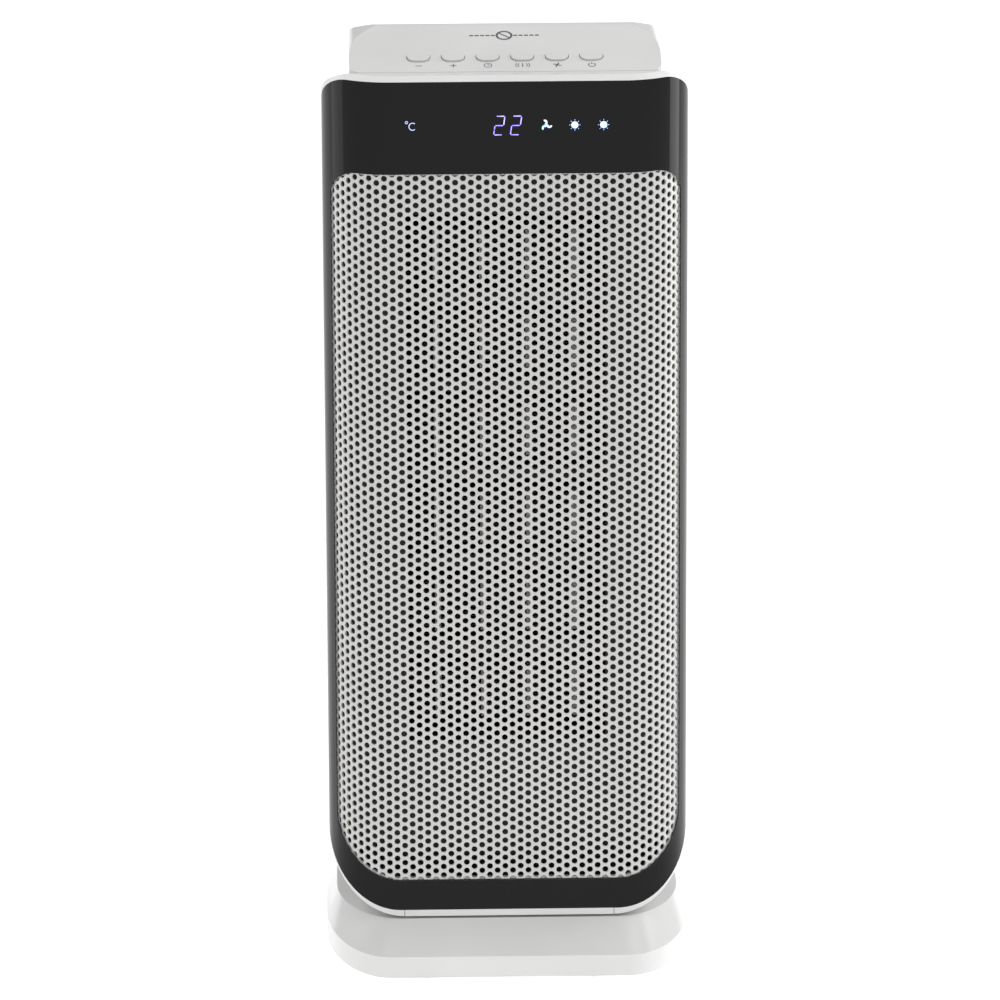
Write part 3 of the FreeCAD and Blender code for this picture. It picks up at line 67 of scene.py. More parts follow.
@dataclass
class NodeBench:
    """Adds and joins nodes in one material or node group.

    Args:
        tree: The node tree that is worked on.
    """

    tree: bpy.types.NodeTree

    def add(self, kind: str, **settings: object) -> bpy.types.Node:
        """Adds a node.

        Args:
            kind: Blender's name of the node type.
            settings: The node's own properties, by name.

        Returns:
            The new node.
        """
        node = self.tree.nodes.new(kind)
        for name, value in settings.items():
            setattr(node, name, value)
        return node

    def feed(self, socket: bpy.types.NodeSocket, source: Feed) -> None:
        """Joins a socket to another node's output, or sets its plain value.

        Args:
            socket: The input that is fed.
            source: An output socket, a number or a colour.
        """
        if isinstance(source, bpy.types.NodeSocket):
            self.tree.links.new(source, socket)
        elif isinstance(source, tuple) and socket.type == "RGBA":
            socket.default_value = (*source, 1.0)
        else:
            socket.default_value = source

    def calc(self, operation: str, first: Feed, second: Feed = 0.0) -> bpy.types.NodeSocket:
        """One step of arithmetic.

        Args:
            operation: Blender's name of the operation.
            first: Its first operand.
            second: Its second operand.

        Returns:
            The result's socket.
        """
        node = self.add("ShaderNodeMath", operation=operation)
        self.feed(node.inputs[0], first)
        self.feed(node.inputs[1], second)
        return node.outputs[0]

    def noise(self, place: Feed, scale: Feed, detail: float = 2.0) -> bpy.types.NodeSocket:
        """Soft noise from 0 to 1.

        Args:
            place: The coordinates it is read at.
            scale: Its cells in a metre.
            detail: How many finer layers it carries.

        Returns:
            The noise value's socket.
        """
        node = self.add("ShaderNodeTexNoise")
        self.feed(node.inputs["Vector"], place)
        self.feed(node.inputs["Scale"], scale)
        node.inputs["Detail"].default_value = detail
        return node.outputs[0]

    def spread(self, value: Feed, low: Feed, high: Feed, to_low: Feed = 0.0, to_high: Feed = 1.0
               ) -> bpy.types.NodeSocket:
        """Maps a range of a value onto another range, without going past its ends.

        Args:
            value: The value that is mapped.
            low: Start of its range.
            high: End of its range.
            to_low: What the start becomes.
            to_high: What the end becomes.

        Returns:
            The mapped value's socket.
        """
        node = self.add("ShaderNodeMapRange")
        for socket, source in zip(node.inputs, (value, low, high, to_low, to_high)):
            self.feed(socket, source)
        return node.outputs[0]

    def blend(self, share: Feed, first: Feed, second: Feed) -> bpy.types.NodeSocket:
        """Mixes two colours.

        Args:
            share: How much of the second shows, from 0 to 1.
            first: The colour at 0.
            second: The colour at 1.

        Returns:
            The mixed colour's socket.
        """
        node = self.add("ShaderNodeMix", data_type="RGBA")
        self.feed(node.inputs[0], share)
        self.feed(node.inputs[6], first)
        self.feed(node.inputs[7], second)
        return node.outputs[2]

    def stretch(self, place: Feed, scale: Colour) -> bpy.types.NodeSocket:
        """Coordinates scaled along each axis.

        Args:
            place: The coordinates.
            scale: Their factor along X, Y and Z.

        Returns:
            The scaled coordinates' socket.
        """
        node = self.add("ShaderNodeMapping")
        self.feed(node.inputs["Vector"], place)
        node.inputs["Scale"].default_value = scale
        return node.outputs[0]

    def part_of(self, vector: Feed, axis: str) -> bpy.types.NodeSocket:
        """One of a vector's three parts."""
        node = self.add("ShaderNodeSeparateXYZ")
        self.feed(node.inputs[0], vector)
        return node.outputs[axis]

    def effect(self, group: bpy.types.NodeTree, **feeds: Feed) -> bpy.types.Node:
        """Places a shared effect.

        Args:
            group: The effect's node group.
            feeds: What goes into its inputs, by name.

        Returns:
            The group node, whose outputs are the effect.
        """
        node = self.add("ShaderNodeGroup", node_tree=group)
        for name, source in feeds.items():
            self.feed(node.inputs[name], source)
        return node

    def bump(self, height: Feed, depth: float, strength: float = 1.0) -> bpy.types.NodeSocket:
        """A normal tilted by a height.

        Args:
            height: The height, from 0 to 1.
            depth: What a height of 1 stands for, in metres.
            strength: How much of the tilt is used.

        Returns:
            The normal's socket.
        """
        node = self.add("ShaderNodeBump")
        self.feed(node.inputs["Height"], height)
        node.inputs["Distance"].default_value = depth
        node.inputs["Strength"].default_value = strength
        return node.outputs[0]


class Effect(Enum):
    """Surface effects that several finishes share."""

    GRAIN = "moulded_grain"
    DUST = "settled_dust"
    MARKS = "handling_marks"
    STREAK = "drawn_streaks"
    WEAVE = "woven_net"
    EDGE = "painted_edge_highlight"


class EffectShelf:
    """Builds each shared effect once and hands out its node group."""

    def __init__(self) -> None:
        """Starts with no effect built."""
        self.makers: dict[Effect, Callable[[], bpy.types.NodeTree]] = {
            Effect.GRAIN: self.make_grain,
            Effect.DUST: self.make_dust,
            Effect.MARKS: self.make_marks,
            Effect.STREAK: self.make_streak,
            Effect.WEAVE: self.make_weave,
            Effect.EDGE: self.make_edge_highlight,
        }
        self.built: dict[Effect, bpy.types.NodeTree] = {}

    def get(self, effect: Effect) -> bpy.types.NodeTree:
        """The node group of an effect, built when it is first asked for."""
        if effect not in self.built:
            self.built[effect] = self.makers[effect]()
        return self.built[effect]

    @staticmethod
    def open_group(effect: Effect, inputs: dict[str, str], outputs: Iterable[str]
                   ) -> tuple[NodeBench, bpy.types.Node, bpy.types.Node]:
        """Starts a node group with its named sockets.

        Args:
            effect: The effect that names the group.
            inputs: Socket type by input name.
            outputs: Names of its value outputs.

        Returns:
            The bench, the group's input node and its output node.
        """
        tree = bpy.data.node_groups.new(effect.value, "ShaderNodeTree")
        for name, kind in inputs.items():
            tree.interface.new_socket(name, in_out="INPUT", socket_type=kind)
        for name in outputs:
            tree.interface.new_socket(name, in_out="OUTPUT", socket_type="NodeSocketFloat")
        bench = NodeBench(tree)
        return bench, bench.add("NodeGroupInput"), bench.add("NodeGroupOutput")

    def make_grain(self) -> bpy.types.NodeTree:
        """Fine moulded grain with a slow drift in tone."""
        bench, given, made = self.open_group(
            Effect.GRAIN, {"Place": "NodeSocketVector", "Cells": "NodeSocketFloat"}, ("Height", "Drift"))
        fine = bench.noise(given.outputs["Place"], given.outputs["Cells"], 3.0)
        drift_cells = bench.calc("DIVIDE", given.outputs["Cells"], 90.0)
        drift = bench.noise(given.outputs["Place"], drift_cells, 1.0)
        bench.feed(made.inputs["Height"], fine)
        bench.feed(made.inputs["Drift"], bench.spread(drift, 0.3, 0.7))
        return bench.tree

    def make_dust(self) -> bpy.types.NodeTree:
        """Fine dust that lies on faces which look up."""
        bench, given, made = self.open_group(
            Effect.DUST,
            {"Place": "NodeSocketVector", "Facing": "NodeSocketVector", "Amount": "NodeSocketFloat"},
            ("Mask",))
        level = bench.spread(bench.part_of(given.outputs["Facing"], "Z"), 0.2, 1.0)
        patches = bench.spread(bench.noise(given.outputs["Place"], 45.0, 4.0), 0.42, 0.68)
        specks = bench.spread(bench.noise(given.outputs["Place"], 1900.0, 1.0), 0.62, 0.74)
        cover = bench.calc("MULTIPLY", level, bench.calc("ADD", bench.calc("MULTIPLY", patches, 0.35), specks))
        bench.feed(made.inputs["Mask"], bench.calc("MULTIPLY", cover, given.outputs["Amount"]))
        return bench.tree

    def make_marks(self) -> bpy.types.NodeTree:
        """Faint wiping marks and dull patches on a gloss face."""
        bench, given, made = self.open_group(
            Effect.MARKS, {"Place": "NodeSocketVector", "Amount": "NodeSocketFloat"}, ("Mask",))
        wiped = bench.noise(bench.stretch(given.outputs["Place"], (1.0, 1.0, 0.22)), 60.0, 5.0)
        patches = bench.noise(given.outputs["Place"], 14.0, 2.0)
        both = bench.calc("MULTIPLY", bench.spread(wiped, 0.45, 0.75), bench.spread(patches, 0.35, 0.7))
        bench.feed(made.inputs["Mask"], bench.calc("MULTIPLY", both, given.outputs["Amount"]))
        return bench.tree

    def make_streak(self) -> bpy.types.NodeTree:
        """Long fine lines left by rolling or drawing, along X."""
        bench, given, made = self.open_group(
            Effect.STREAK, {"Place": "NodeSocketVector", "Cells": "NodeSocketFloat"}, ("Height",))
        drawn = bench.stretch(given.outputs["Place"], (0.03, 1.0, 1.0))
        bench.feed(made.inputs["Height"], bench.noise(drawn, given.outputs["Cells"], 3.0))
        return bench.tree

    def make_weave(self) -> bpy.types.NodeTree:
        """Crossing threads of a fine net that hangs in the XZ plane."""
        bench, given, made = self.open_group(
            Effect.WEAVE, {"Place": "NodeSocketVector", "Threads": "NodeSocketFloat"}, ("Height",))
        turns = bench.calc("MULTIPLY", given.outputs["Threads"], 2.0 * math.pi)
        waves = [
            bench.calc("SINE", bench.calc("MULTIPLY", bench.part_of(given.outputs["Place"], axis), turns))
            for axis in ("X", "Z")
        ]
        bench.feed(made.inputs["Height"], bench.spread(bench.calc("MAXIMUM", *waves), -0.2, 1.0))
        return bench.tree

    def make_edge_highlight(self) -> bpy.types.NodeTree:
        """Painted highlight on corners, found with the bevel shader and broken up by noise."""
        bench, given, made = self.open_group(
            Effect.EDGE, {"Place": "NodeSocketVector", "Reach": "NodeSocketFloat"}, ("Mask",))
        eased = bench.add("ShaderNodeBevel", samples=3)
        bench.feed(eased.inputs["Radius"], given.outputs["Reach"])
        true = bench.add("ShaderNodeNewGeometry")
        turned = bench.add("ShaderNodeVectorMath", operation="DOT_PRODUCT")
        bench.feed(turned.inputs[0], eased.outputs[0])
        bench.feed(turned.inputs[1], true.outputs["Normal"])
        corner = bench.spread(turned.outputs["Value"], 0.99, 0.85)
        patchy = bench.spread(bench.noise(given.outputs["Place"], 300.0, 2.0), 0.35, 0.6)
        bench.feed(made.inputs["Mask"], bench.calc("MULTIPLY", corner, patchy))
        return bench.tree


shelf = EffectShelf()


# ---------------------------------------------------------------- finishes


DUST_TONE = (0.62, 0.6, 0.57)
METAL_DUST_TONE = (0.5, 0.48, 0.45)
CERAMIC_SPECK = (0.2, 0.19, 0.18)
CERAMIC_CELLS = 2600.0
LINT_TONE = (0.4, 0.39, 0.37)
# Near-black painted shade for the gaps of the net.
NET_GAP_SHADE = (0.01, 0.01, 0.012)
# Reach of the painted highlight on corners, in metres.
HIGHLIGHT_REACH = 0.0005


class Pattern(Enum):
    """What a plain finish carries besides its colour."""

    GRAIN = "grain"
    STREAKS = "streaks"


@dataclass(frozen=True)
class Surface:
    """What a finish is laid on.

    Args:
        bench: The material's bench.
        shader: Its Principled shader.
        place: The piece's own coordinates.
        facing: The surface's direction in the piece's own axes.
    """

    bench: NodeBench
    shader: bpy.types.Node
    place: bpy.types.NodeSocket
    facing: bpy.types.NodeSocket


@dataclass(frozen=True)
class Finish:
    """A finish with one shader, whose material is built when it is first asked for.

    Args:
        name: Name of the finish.
        colour: Its main colour.
        roughness: Its roughness.
    """

    name: str
    colour: Colour
    roughness: float

    def material(self) -> bpy.types.Material:
        """The finish's material."""
        made = bpy.data.materials.get("finish_" + self.name)
        if made is None:
            made = bpy.data.materials.new("finish_" + self.name)
            made.use_nodes = True
            made.node_tree.nodes.clear()
            bench = NodeBench(made.node_tree)
            shader = bench.add("ShaderNodeBsdfPrincipled")
            output = bench.add("ShaderNodeOutputMaterial")
            bench.feed(output.inputs["Surface"], shader.outputs[0])
            coordinates = bench.add("ShaderNodeTexCoord")
            outputs = coordinates.outputs
            self.dress(Surface(bench, shader, outputs["Object"], outputs["Normal"]))
            made.diffuse_color = (*self.colour, 1.0)
        return made

    def dress(self, surface: Surface) -> None:
        """Sets and joins the shader's inputs.

        Args:
            surface: What it is laid on.
        """
        raise NotImplementedError


@dataclass(frozen=True)
class Plastic(Finish):
    """Moulded plastic, from piano gloss to a rough tray.

    Args:
        cells: Grain cells in a metre.
        depth: Grain depth in metres.
        dust: Amount of settled dust.
        marks: Amount of wiping marks.
        specular: Strength of its reflection.
        edge: How much lighter corners are painted, as a painted highlight.
    """

    cells: float = 2500.0
    depth: float = 0.000004
    dust: float = 0.15
    marks: float = 0.2
    specular: float = 0.5
    edge: float = 0.0

    def dress(self, surface: Surface) -> None:
        """Grain, drift in tone, dust, wiping marks and a painted highlight on corners.

        Args:
            surface: What it is laid on.
        """
        bench, shader, place = surface.bench, surface.shader, surface.place
        grain = bench.effect(shelf.get(Effect.GRAIN), Place=place, Cells=self.cells)
        dust = bench.effect(shelf.get(Effect.DUST), Place=place, Facing=surface.facing, Amount=self.dust)
        marks = bench.effect(shelf.get(Effect.MARKS), Place=place, Amount=self.marks)
        deeper = tuple(part * 0.955 for part in self.colour)
        tone = bench.blend(grain.outputs["Drift"], self.colour, deeper)
        # Painted highlight: corners found by the bevel shader are lightened towards a paler tone.
        if self.edge:
            edge = bench.effect(shelf.get(Effect.EDGE), Place=place, Reach=HIGHLIGHT_REACH)
            share = bench.calc("MULTIPLY", edge.outputs["Mask"], self.edge)
            tone = bench.blend(share, tone, tuple(part * 0.6 + 0.35 for part in self.colour))
        bench.feed(shader.inputs["Base Color"],
                   bench.blend(dust.outputs["Mask"], tone, DUST_TONE))
        dulled = bench.calc("MULTIPLY_ADD", marks.outputs["Mask"], 0.25)
        dulled.node.inputs[2].default_value = self.roughness
        bench.feed(shader.inputs["Roughness"],
                   bench.calc("MAXIMUM", dulled, bench.calc("MULTIPLY", dust.outputs["Mask"], 0.8)))
        bench.feed(shader.inputs["Normal"], bench.bump(grain.outputs["Height"], self.depth))
        shader.inputs["Specular IOR Level"].default_value = self.specular


@dataclass(frozen=True)
class Metal(Finish):
    """Bare, plated or painted metal.

    Args:
        metallic: 1 for bare metal, less for a metallic paint.
        pattern: Streaks for rolled or drawn metal, grain for cast, sintered or painted.
        cells: Cells of the pattern in a metre.
        depth: Depth of the pattern in metres.
        dust: Amount of settled dust.
    """

    metallic: float = 1.0
    pattern: Pattern = Pattern.STREAKS
    cells: float = 3000.0
    depth: float = 0.000006
    dust: float = 0.1

    def dress(self, surface: Surface) -> None:
        """Streaks or grain in the metal, with a drift in tone and a little dust.

        Args:
            surface: What it is laid on.
        """
        bench, shader, place = surface.bench, surface.shader, surface.place
        grain = bench.effect(shelf.get(Effect.GRAIN), Place=place, Cells=self.cells)
        dust = bench.effect(shelf.get(Effect.DUST), Place=place, Facing=surface.facing, Amount=self.dust)
        height = grain.outputs["Height"]
        if self.pattern is Pattern.STREAKS:
            streak = bench.effect(shelf.get(Effect.STREAK), Place=place, Cells=self.cells)
            height = streak.outputs["Height"]
        darker = tuple(part * 0.86 for part in self.colour)
        tone = bench.blend(bench.spread(height, 0.35, 0.65), self.colour, darker)
        bench.feed(shader.inputs["Base Color"], bench.blend(dust.outputs["Mask"], tone, METAL_DUST_TONE))
        bench.feed(shader.inputs["Roughness"],
                   bench.spread(grain.outputs["Drift"], 0.0, 1.0, self.roughness * 0.85, self.roughness * 1.2))
        bench.feed(shader.inputs["Normal"], bench.bump(height, self.depth))
        shader.inputs["Metallic"].default_value = self.metallic


@dataclass(frozen=True)
class Ceramic(Finish):
    """Pressed ceramic stones with fine dark specks."""

    def dress(self, surface: Surface) -> None:
        """Specks and a slightly open surface.

        Args:
            surface: What it is laid on.
        """
        bench, shader, place = surface.bench, surface.shader, surface.place
        specks = bench.spread(bench.noise(place, CERAMIC_CELLS, 2.0), 0.58, 0.7)
        drift = bench.noise(place, 70.0, 2.0)
        tone = bench.blend(drift, self.colour, tuple(part * 0.8 for part in self.colour))
        bench.feed(shader.inputs["Base Color"], bench.blend(specks, tone, CERAMIC_SPECK))
        bench.feed(shader.inputs["Roughness"], bench.spread(drift, 0.2, 0.8, self.roughness, 0.75))
        bench.feed(shader.inputs["Normal"], bench.bump(bench.noise(place, CERAMIC_CELLS, 2.0), 0.00002))


@dataclass(frozen=True)
class Board(Finish):
    """Printed circuit board: solder mask over copper tracks."""

    def dress(self, surface: Surface) -> None:
        """Tracks under the mask, seen as a lighter tone and a slight step.

        Args:
            surface: What it is laid on.
        """
        bench, shader, place = surface.bench, surface.shader, surface.place
        cells = bench.add("ShaderNodeTexBrick", offset=0.5)
        bench.feed(cells.inputs["Vector"], place)
        for name, value in (("Scale", 60.0), ("Mortar Size", 0.09), ("Brick Width", 0.9), ("Row Height", 0.22)):
            cells.inputs[name].default_value = value
        tracks = cells.outputs["Fac"]
        lighter = tuple(min(1.0, part * 1.8) for part in self.colour)
        bench.feed(shader.inputs["Base Color"], bench.blend(tracks, self.colour, lighter))
        bench.feed(shader.inputs["Roughness"], bench.spread(bench.noise(place, 80.0), 0.3, 0.7, 0.25, 0.4))
        bench.feed(shader.inputs["Normal"], bench.bump(tracks, 0.00003))


@dataclass(frozen=True)
class Net(Finish):
    """Fine woven net of the dust filter."""

    def dress(self, surface: Surface) -> None:
        """Crossing threads, darker between them, with lint caught on the weave.

        Args:
            Crossing threads with painted shade in the gaps between them, and lint caught on the weave.
        """
        bench, shader, place = surface.bench, surface.shader, surface.place
        weave = bench.effect(shelf.get(Effect.WEAVE), Place=place, Threads=900.0)
        lint = bench.spread(bench.noise(place, 120.0, 4.0), 0.55, 0.8, 0.0, 0.25)
        # Painted shade: the gaps between threads are made near black.
        tone = bench.blend(weave.outputs["Height"], NET_GAP_SHADE, self.colour)
        bench.feed(shader.inputs["Base Color"], bench.blend(lint, tone, LINT_TONE))
        shader.inputs["Roughness"].default_value = self.roughness
        bench.feed(shader.inputs["Normal"], bench.bump(weave.outputs["Height"], 0.0003))


@dataclass(frozen=True)
class Glow(Finish):
    """A lit mark.

    Args:
        strength: How bright it shines.
    """

    strength: float = 3.0

    def dress(self, surface: Surface) -> None:
        """Light that is a little uneven along each mark.

        Args:
            surface: What it is laid on.
        """
        bench, shader, place = surface.bench, surface.shader, surface.place
        uneven = bench.spread(bench.noise(place, 420.0, 1.0), 0.3, 0.7)
        paler = tuple(part * 0.55 + 0.4 for part in self.colour)
        bench.feed(shader.inputs["Emission Color"], bench.blend(uneven, self.colour, paler))
        shader.inputs["Emission Strength"].default_value = self.strength
        bench.feed(shader.inputs["Base Color"], bench.blend(uneven, self.colour, paler))
        shader.inputs["Roughness"].default_value = self.roughness


# edge sets the strength of the painted highlight on corners.
WHITE_SHELL = Plastic("white_shell", (0.72, 0.72, 0.715), 0.2, dust=0.12, marks=0.25, edge=0.35)
WHITE_KEY = Plastic("white_key", (0.7, 0.7, 0.695), 0.24, dust=0.06, marks=0.3, edge=0.35)
PIANO_BLACK = Plastic("piano_black", (0.005, 0.005, 0.006), 0.07, cells=900.0, depth=0.0000012, dust=0.05,
                      marks=0.18, specular=0.15, edge=0.12)
GRILLE_PAINT = Metal("grille_paint", (0.6, 0.595, 0.585), 0.38, metallic=0.25, pattern=Pattern.GRAIN,
                     cells=2200.0, depth=0.00001, dust=0.05)
LIT_DIGIT = Glow("lit_digit", (0.16, 0.07, 1.0), 0.4, strength=1.5)
LIT_LAMP = Glow("lit_lamp", (0.26, 0.5, 1.0), 0.4, strength=1.4)
LIT_DEGREE = Glow("lit_degree", (0.42, 0.5, 1.0), 0.4, strength=0.8)
GREY_INK = Plastic("grey_ink", (0.09, 0.09, 0.094), 0.5, dust=0.0, marks=0.0)

SLOT_FINISHES: dict[str, Finish] = {
    "white_shell": WHITE_SHELL,
    "white_key": WHITE_KEY,
    "base_tray": Plastic("base_tray", (0.55, 0.55, 0.545), 0.5, cells=1600.0, depth=0.00002, dust=0.1),
    "black_gloss": PIANO_BLACK,
    "grille_paint": GRILLE_PAINT,
    "rubber": Plastic("rubber", (0.055, 0.055, 0.056), 0.75, cells=1300.0, depth=0.00003, dust=0.3),
    "steel": Metal("plated_steel", (0.58, 0.58, 0.59), 0.28),
    # edge=0.1 gives this plastic a faint painted highlight on corners.
    "black_plastic": Plastic("black_plastic", (0.02, 0.02, 0.021), 0.38, cells=1700.0, depth=0.00001, edge=0.1),
    "bearing_plastic": Plastic("bearing_plastic", (0.7, 0.69, 0.65), 0.4),
    "motor_steel": Metal("motor_steel", (0.5, 0.5, 0.51), 0.34, cells=1800.0),
    "heater_frame_plastic": Plastic("heater_frame", (0.02, 0.019, 0.019), 0.55, cells=1500.0, depth=0.00002),
    "heating_ceramic": Ceramic("heating_ceramic", (0.42, 0.42, 0.41), 0.55),
    "fin_aluminium": Metal("fin_aluminium", (0.1, 0.1, 0.105), 0.45, cells=2600.0),
    "bronze": Metal("bronze", (0.5, 0.33, 0.18), 0.5, pattern=Pattern.GRAIN, depth=0.00002),
    "circuit_board": Board("circuit_board", (0.012, 0.09, 0.035), 0.3),
    "display_light": Plastic("display_case", (0.05, 0.05, 0.055), 0.35),
    "filter_mesh": Net("filter_net", (0.1, 0.1, 0.105), 0.7),
    "thermal_metal": Metal("thermal_metal", (0.6, 0.6, 0.6), 0.35),
}


# ---------------------------------------------------------------- mesh work


def verts_of(items: Iterable[object]) -> list[bmesh.types.BMVert]:
    """The vertices among mesh items."""
    return [item for item in items if isinstance(item, bmesh.types.BMVert)]


def edges_of(items: Iterable[object]) -> list[bmesh.types.BMEdge]:
    """The edges among mesh items."""
    return [item for item in items if isinstance(item, bmesh.types.BMEdge)]


def everything(bm: bmesh.types.BMesh) -> list[object]:
    """All vertices, edges and faces of a mesh."""
    return [*bm.verts, *bm.edges, *bm.faces]


def to_piece(bm: bmesh.types.BMesh, name: str, finish: Finish, body: str,
             smooth_below: float = 35.0) -> bpy.types.Object:
    """Turns a finished mesh into a piece that rides on a body.

    Args:
        bm: The mesh, in the row frame. It is freed.
        name: The piece's name.
        finish: Its finish.
        body: The CAD body it rides on.
        smooth_below: Edges that turn by less, in degrees, are shaded smooth.

    Returns:
        The piece.
    """
    bmesh.ops.recalc_face_normals(bm, faces=bm.faces)
    mesh = bpy.data.meshes.new(name)
    bm.to_mesh(mesh)
    bm.free()
    mesh.shade_smooth()
    mesh.set_sharp_from_angle(angle=math.radians(smooth_below))
    mesh.materials.append(finish.material())
    piece = bpy.data.objects.new(name, mesh)
    bpy.context.scene.collection.objects.link(piece)
    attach(piece, body)
    log.info("%s: %d faces on %s", name, len(mesh.polygons), body)
    return piece


def solid_boxes(node: str) -> list[tuple[Vector, Vector]]:
    """The boxes of a CAD node's separate solids, in order of X and then Z.

    Args:
        node: The CAD node.

    Returns:
        A lowest and a highest corner for each solid.
    """
    bm = bmesh.new()
    bm.from_mesh(frame["nodes"][node].data)
    bmesh.ops.remove_doubles(bm, verts=bm.verts, dist=0.01 * MM)
    left = set(bm.verts)
    boxes = []
    while left:
        front = [left.pop()]
        island = []
        while front:
            vert = front.pop()
            island.append(vert.co.copy())
            for edge in vert.link_edges:
                other = edge.other_vert(vert)
                if other in left:
                    left.remove(other)
                    front.append(other)
        boxes.append((Vector(map(min, zip(*island))), Vector(map(max, zip(*island)))))
    bm.free()
    return sorted(boxes, key=lambda pair: (round(pair[0].x, 4), round(pair[0].z, 4)))


def ray(turn: float) -> Vector:
    """The direction at a turn from the sheet's X, in degrees."""
    return Vector((math.cos(math.radians(turn)), math.sin(math.radians(turn)), 0.0))


@dataclass
class MarkSheet:
    """Flat printed or lit marks, drawn in one plane and raised to a thin film.

    Args:
        film: Thickness of the film in metres.
    """

    film: float = 0.03 * MM
    bm: bmesh.types.BMesh = field(default_factory=bmesh.new)

    def bar(self, centre: Vector, length: float, width: float, turn: float = 0.0, tip: float = 0.0) -> None:
        """Adds a straight stroke.

        Args:
            centre: Its middle in the plane.
            length: Its length.
            width: Its width.
            turn: Its turn from the sheet's X, in degrees.
            tip: How far its corners are cut off.
        """
        place = (Matrix.Translation(centre) @ Matrix.Rotation(math.radians(turn), 4, "Z")
                 @ Matrix.Diagonal((length, width, 1.0, 1.0)))
        made = bmesh.ops.create_grid(self.bm, x_segments=1, y_segments=1, size=0.5, matrix=place)["verts"]
        if tip:
            bmesh.ops.bevel(self.bm, geom=made, offset=tip, affect="VERTICES", segments=1, profile=0.5,
                            material=-1)

    def arc(self, centre: Vector, radius: float, width: float, start: float = 0.0, sweep: float = 360.0,
            steps: int = 24) -> None:
        """Adds a round stroke.

        Args:
            centre: Centre of the round.
            radius: Radius of its middle line.
            width: Width of the stroke.
            start: Where it starts, in degrees from the sheet's X.
            sweep: How far it goes round, in degrees.
            steps: Number of faces along it.
        """
        ends = [self.bm.verts.new(centre + ray(start) * (radius + side * width / 2)) for side in (-1, 1)]
        edge = self.bm.edges.new(ends)
        bmesh.ops.spin(self.bm, geom=[*ends, edge], cent=centre, axis=(0.0, 0.0, 1.0), steps=steps,
                       angle=math.radians(sweep), use_merge=sweep >= 360.0)

    def disc(self, centre: Vector, radius: float, segments: int = 24) -> None:
        """Adds a filled round mark."""
        bmesh.ops.create_circle(self.bm, cap_ends=True, segments=segments, radius=radius,
                                matrix=Matrix.Translation(centre))

    def outline(self, centre: Vector, width: float, height: float, corner: float, line: float) -> None:
        """Adds the outline of a rounded rectangle.

        Args:
            centre: Its middle in the plane.
            width: Its width.
            height: Its height.
            corner: Radius of its corners.
            line: Width of the line.
        """
        place = Matrix.Translation(centre) @ Matrix.Diagonal((width, height, 1.0, 1.0))
        made = bmesh.ops.create_grid(self.bm, x_segments=1, y_segments=1, size=0.5, matrix=place)["verts"]
        rounded = bmesh.ops.bevel(self.bm, geom=made, offset=corner, affect="VERTICES", segments=5,
                                  profile=0.5, material=-1)
        face = [f for f in rounded["verts"][0].link_faces]
        bmesh.ops.inset_region(self.bm, faces=face, thickness=line, use_even_offset=True)
        bmesh.ops.delete(self.bm, geom=face, context="FACES")

    def raise_film(self, name: str, place: Matrix, finish: Finish, body: str) -> bpy.types.Object:
        """Raises the marks to a film and makes them a piece.

        Args:
            name: The piece's name.
            place: Where the sheet's plane lies; the film rises along its Z.
            finish: Its finish.
            body: The CAD body it rides on.

        Returns:
            The piece.
        """
        raised = bmesh.ops.extrude_face_region(self.bm, geom=self.bm.faces[:], use_keep_orig=True)["geom"]
        bmesh.ops.translate(self.bm, verts=verts_of(raised), vec=(0.0, 0.0, self.film))
        bmesh.ops.transform(self.bm, matrix=place, verts=self.bm.verts)
        return to_piece(self.bm, name, finish, body)


# ---------------------------------------------------------------- front grille


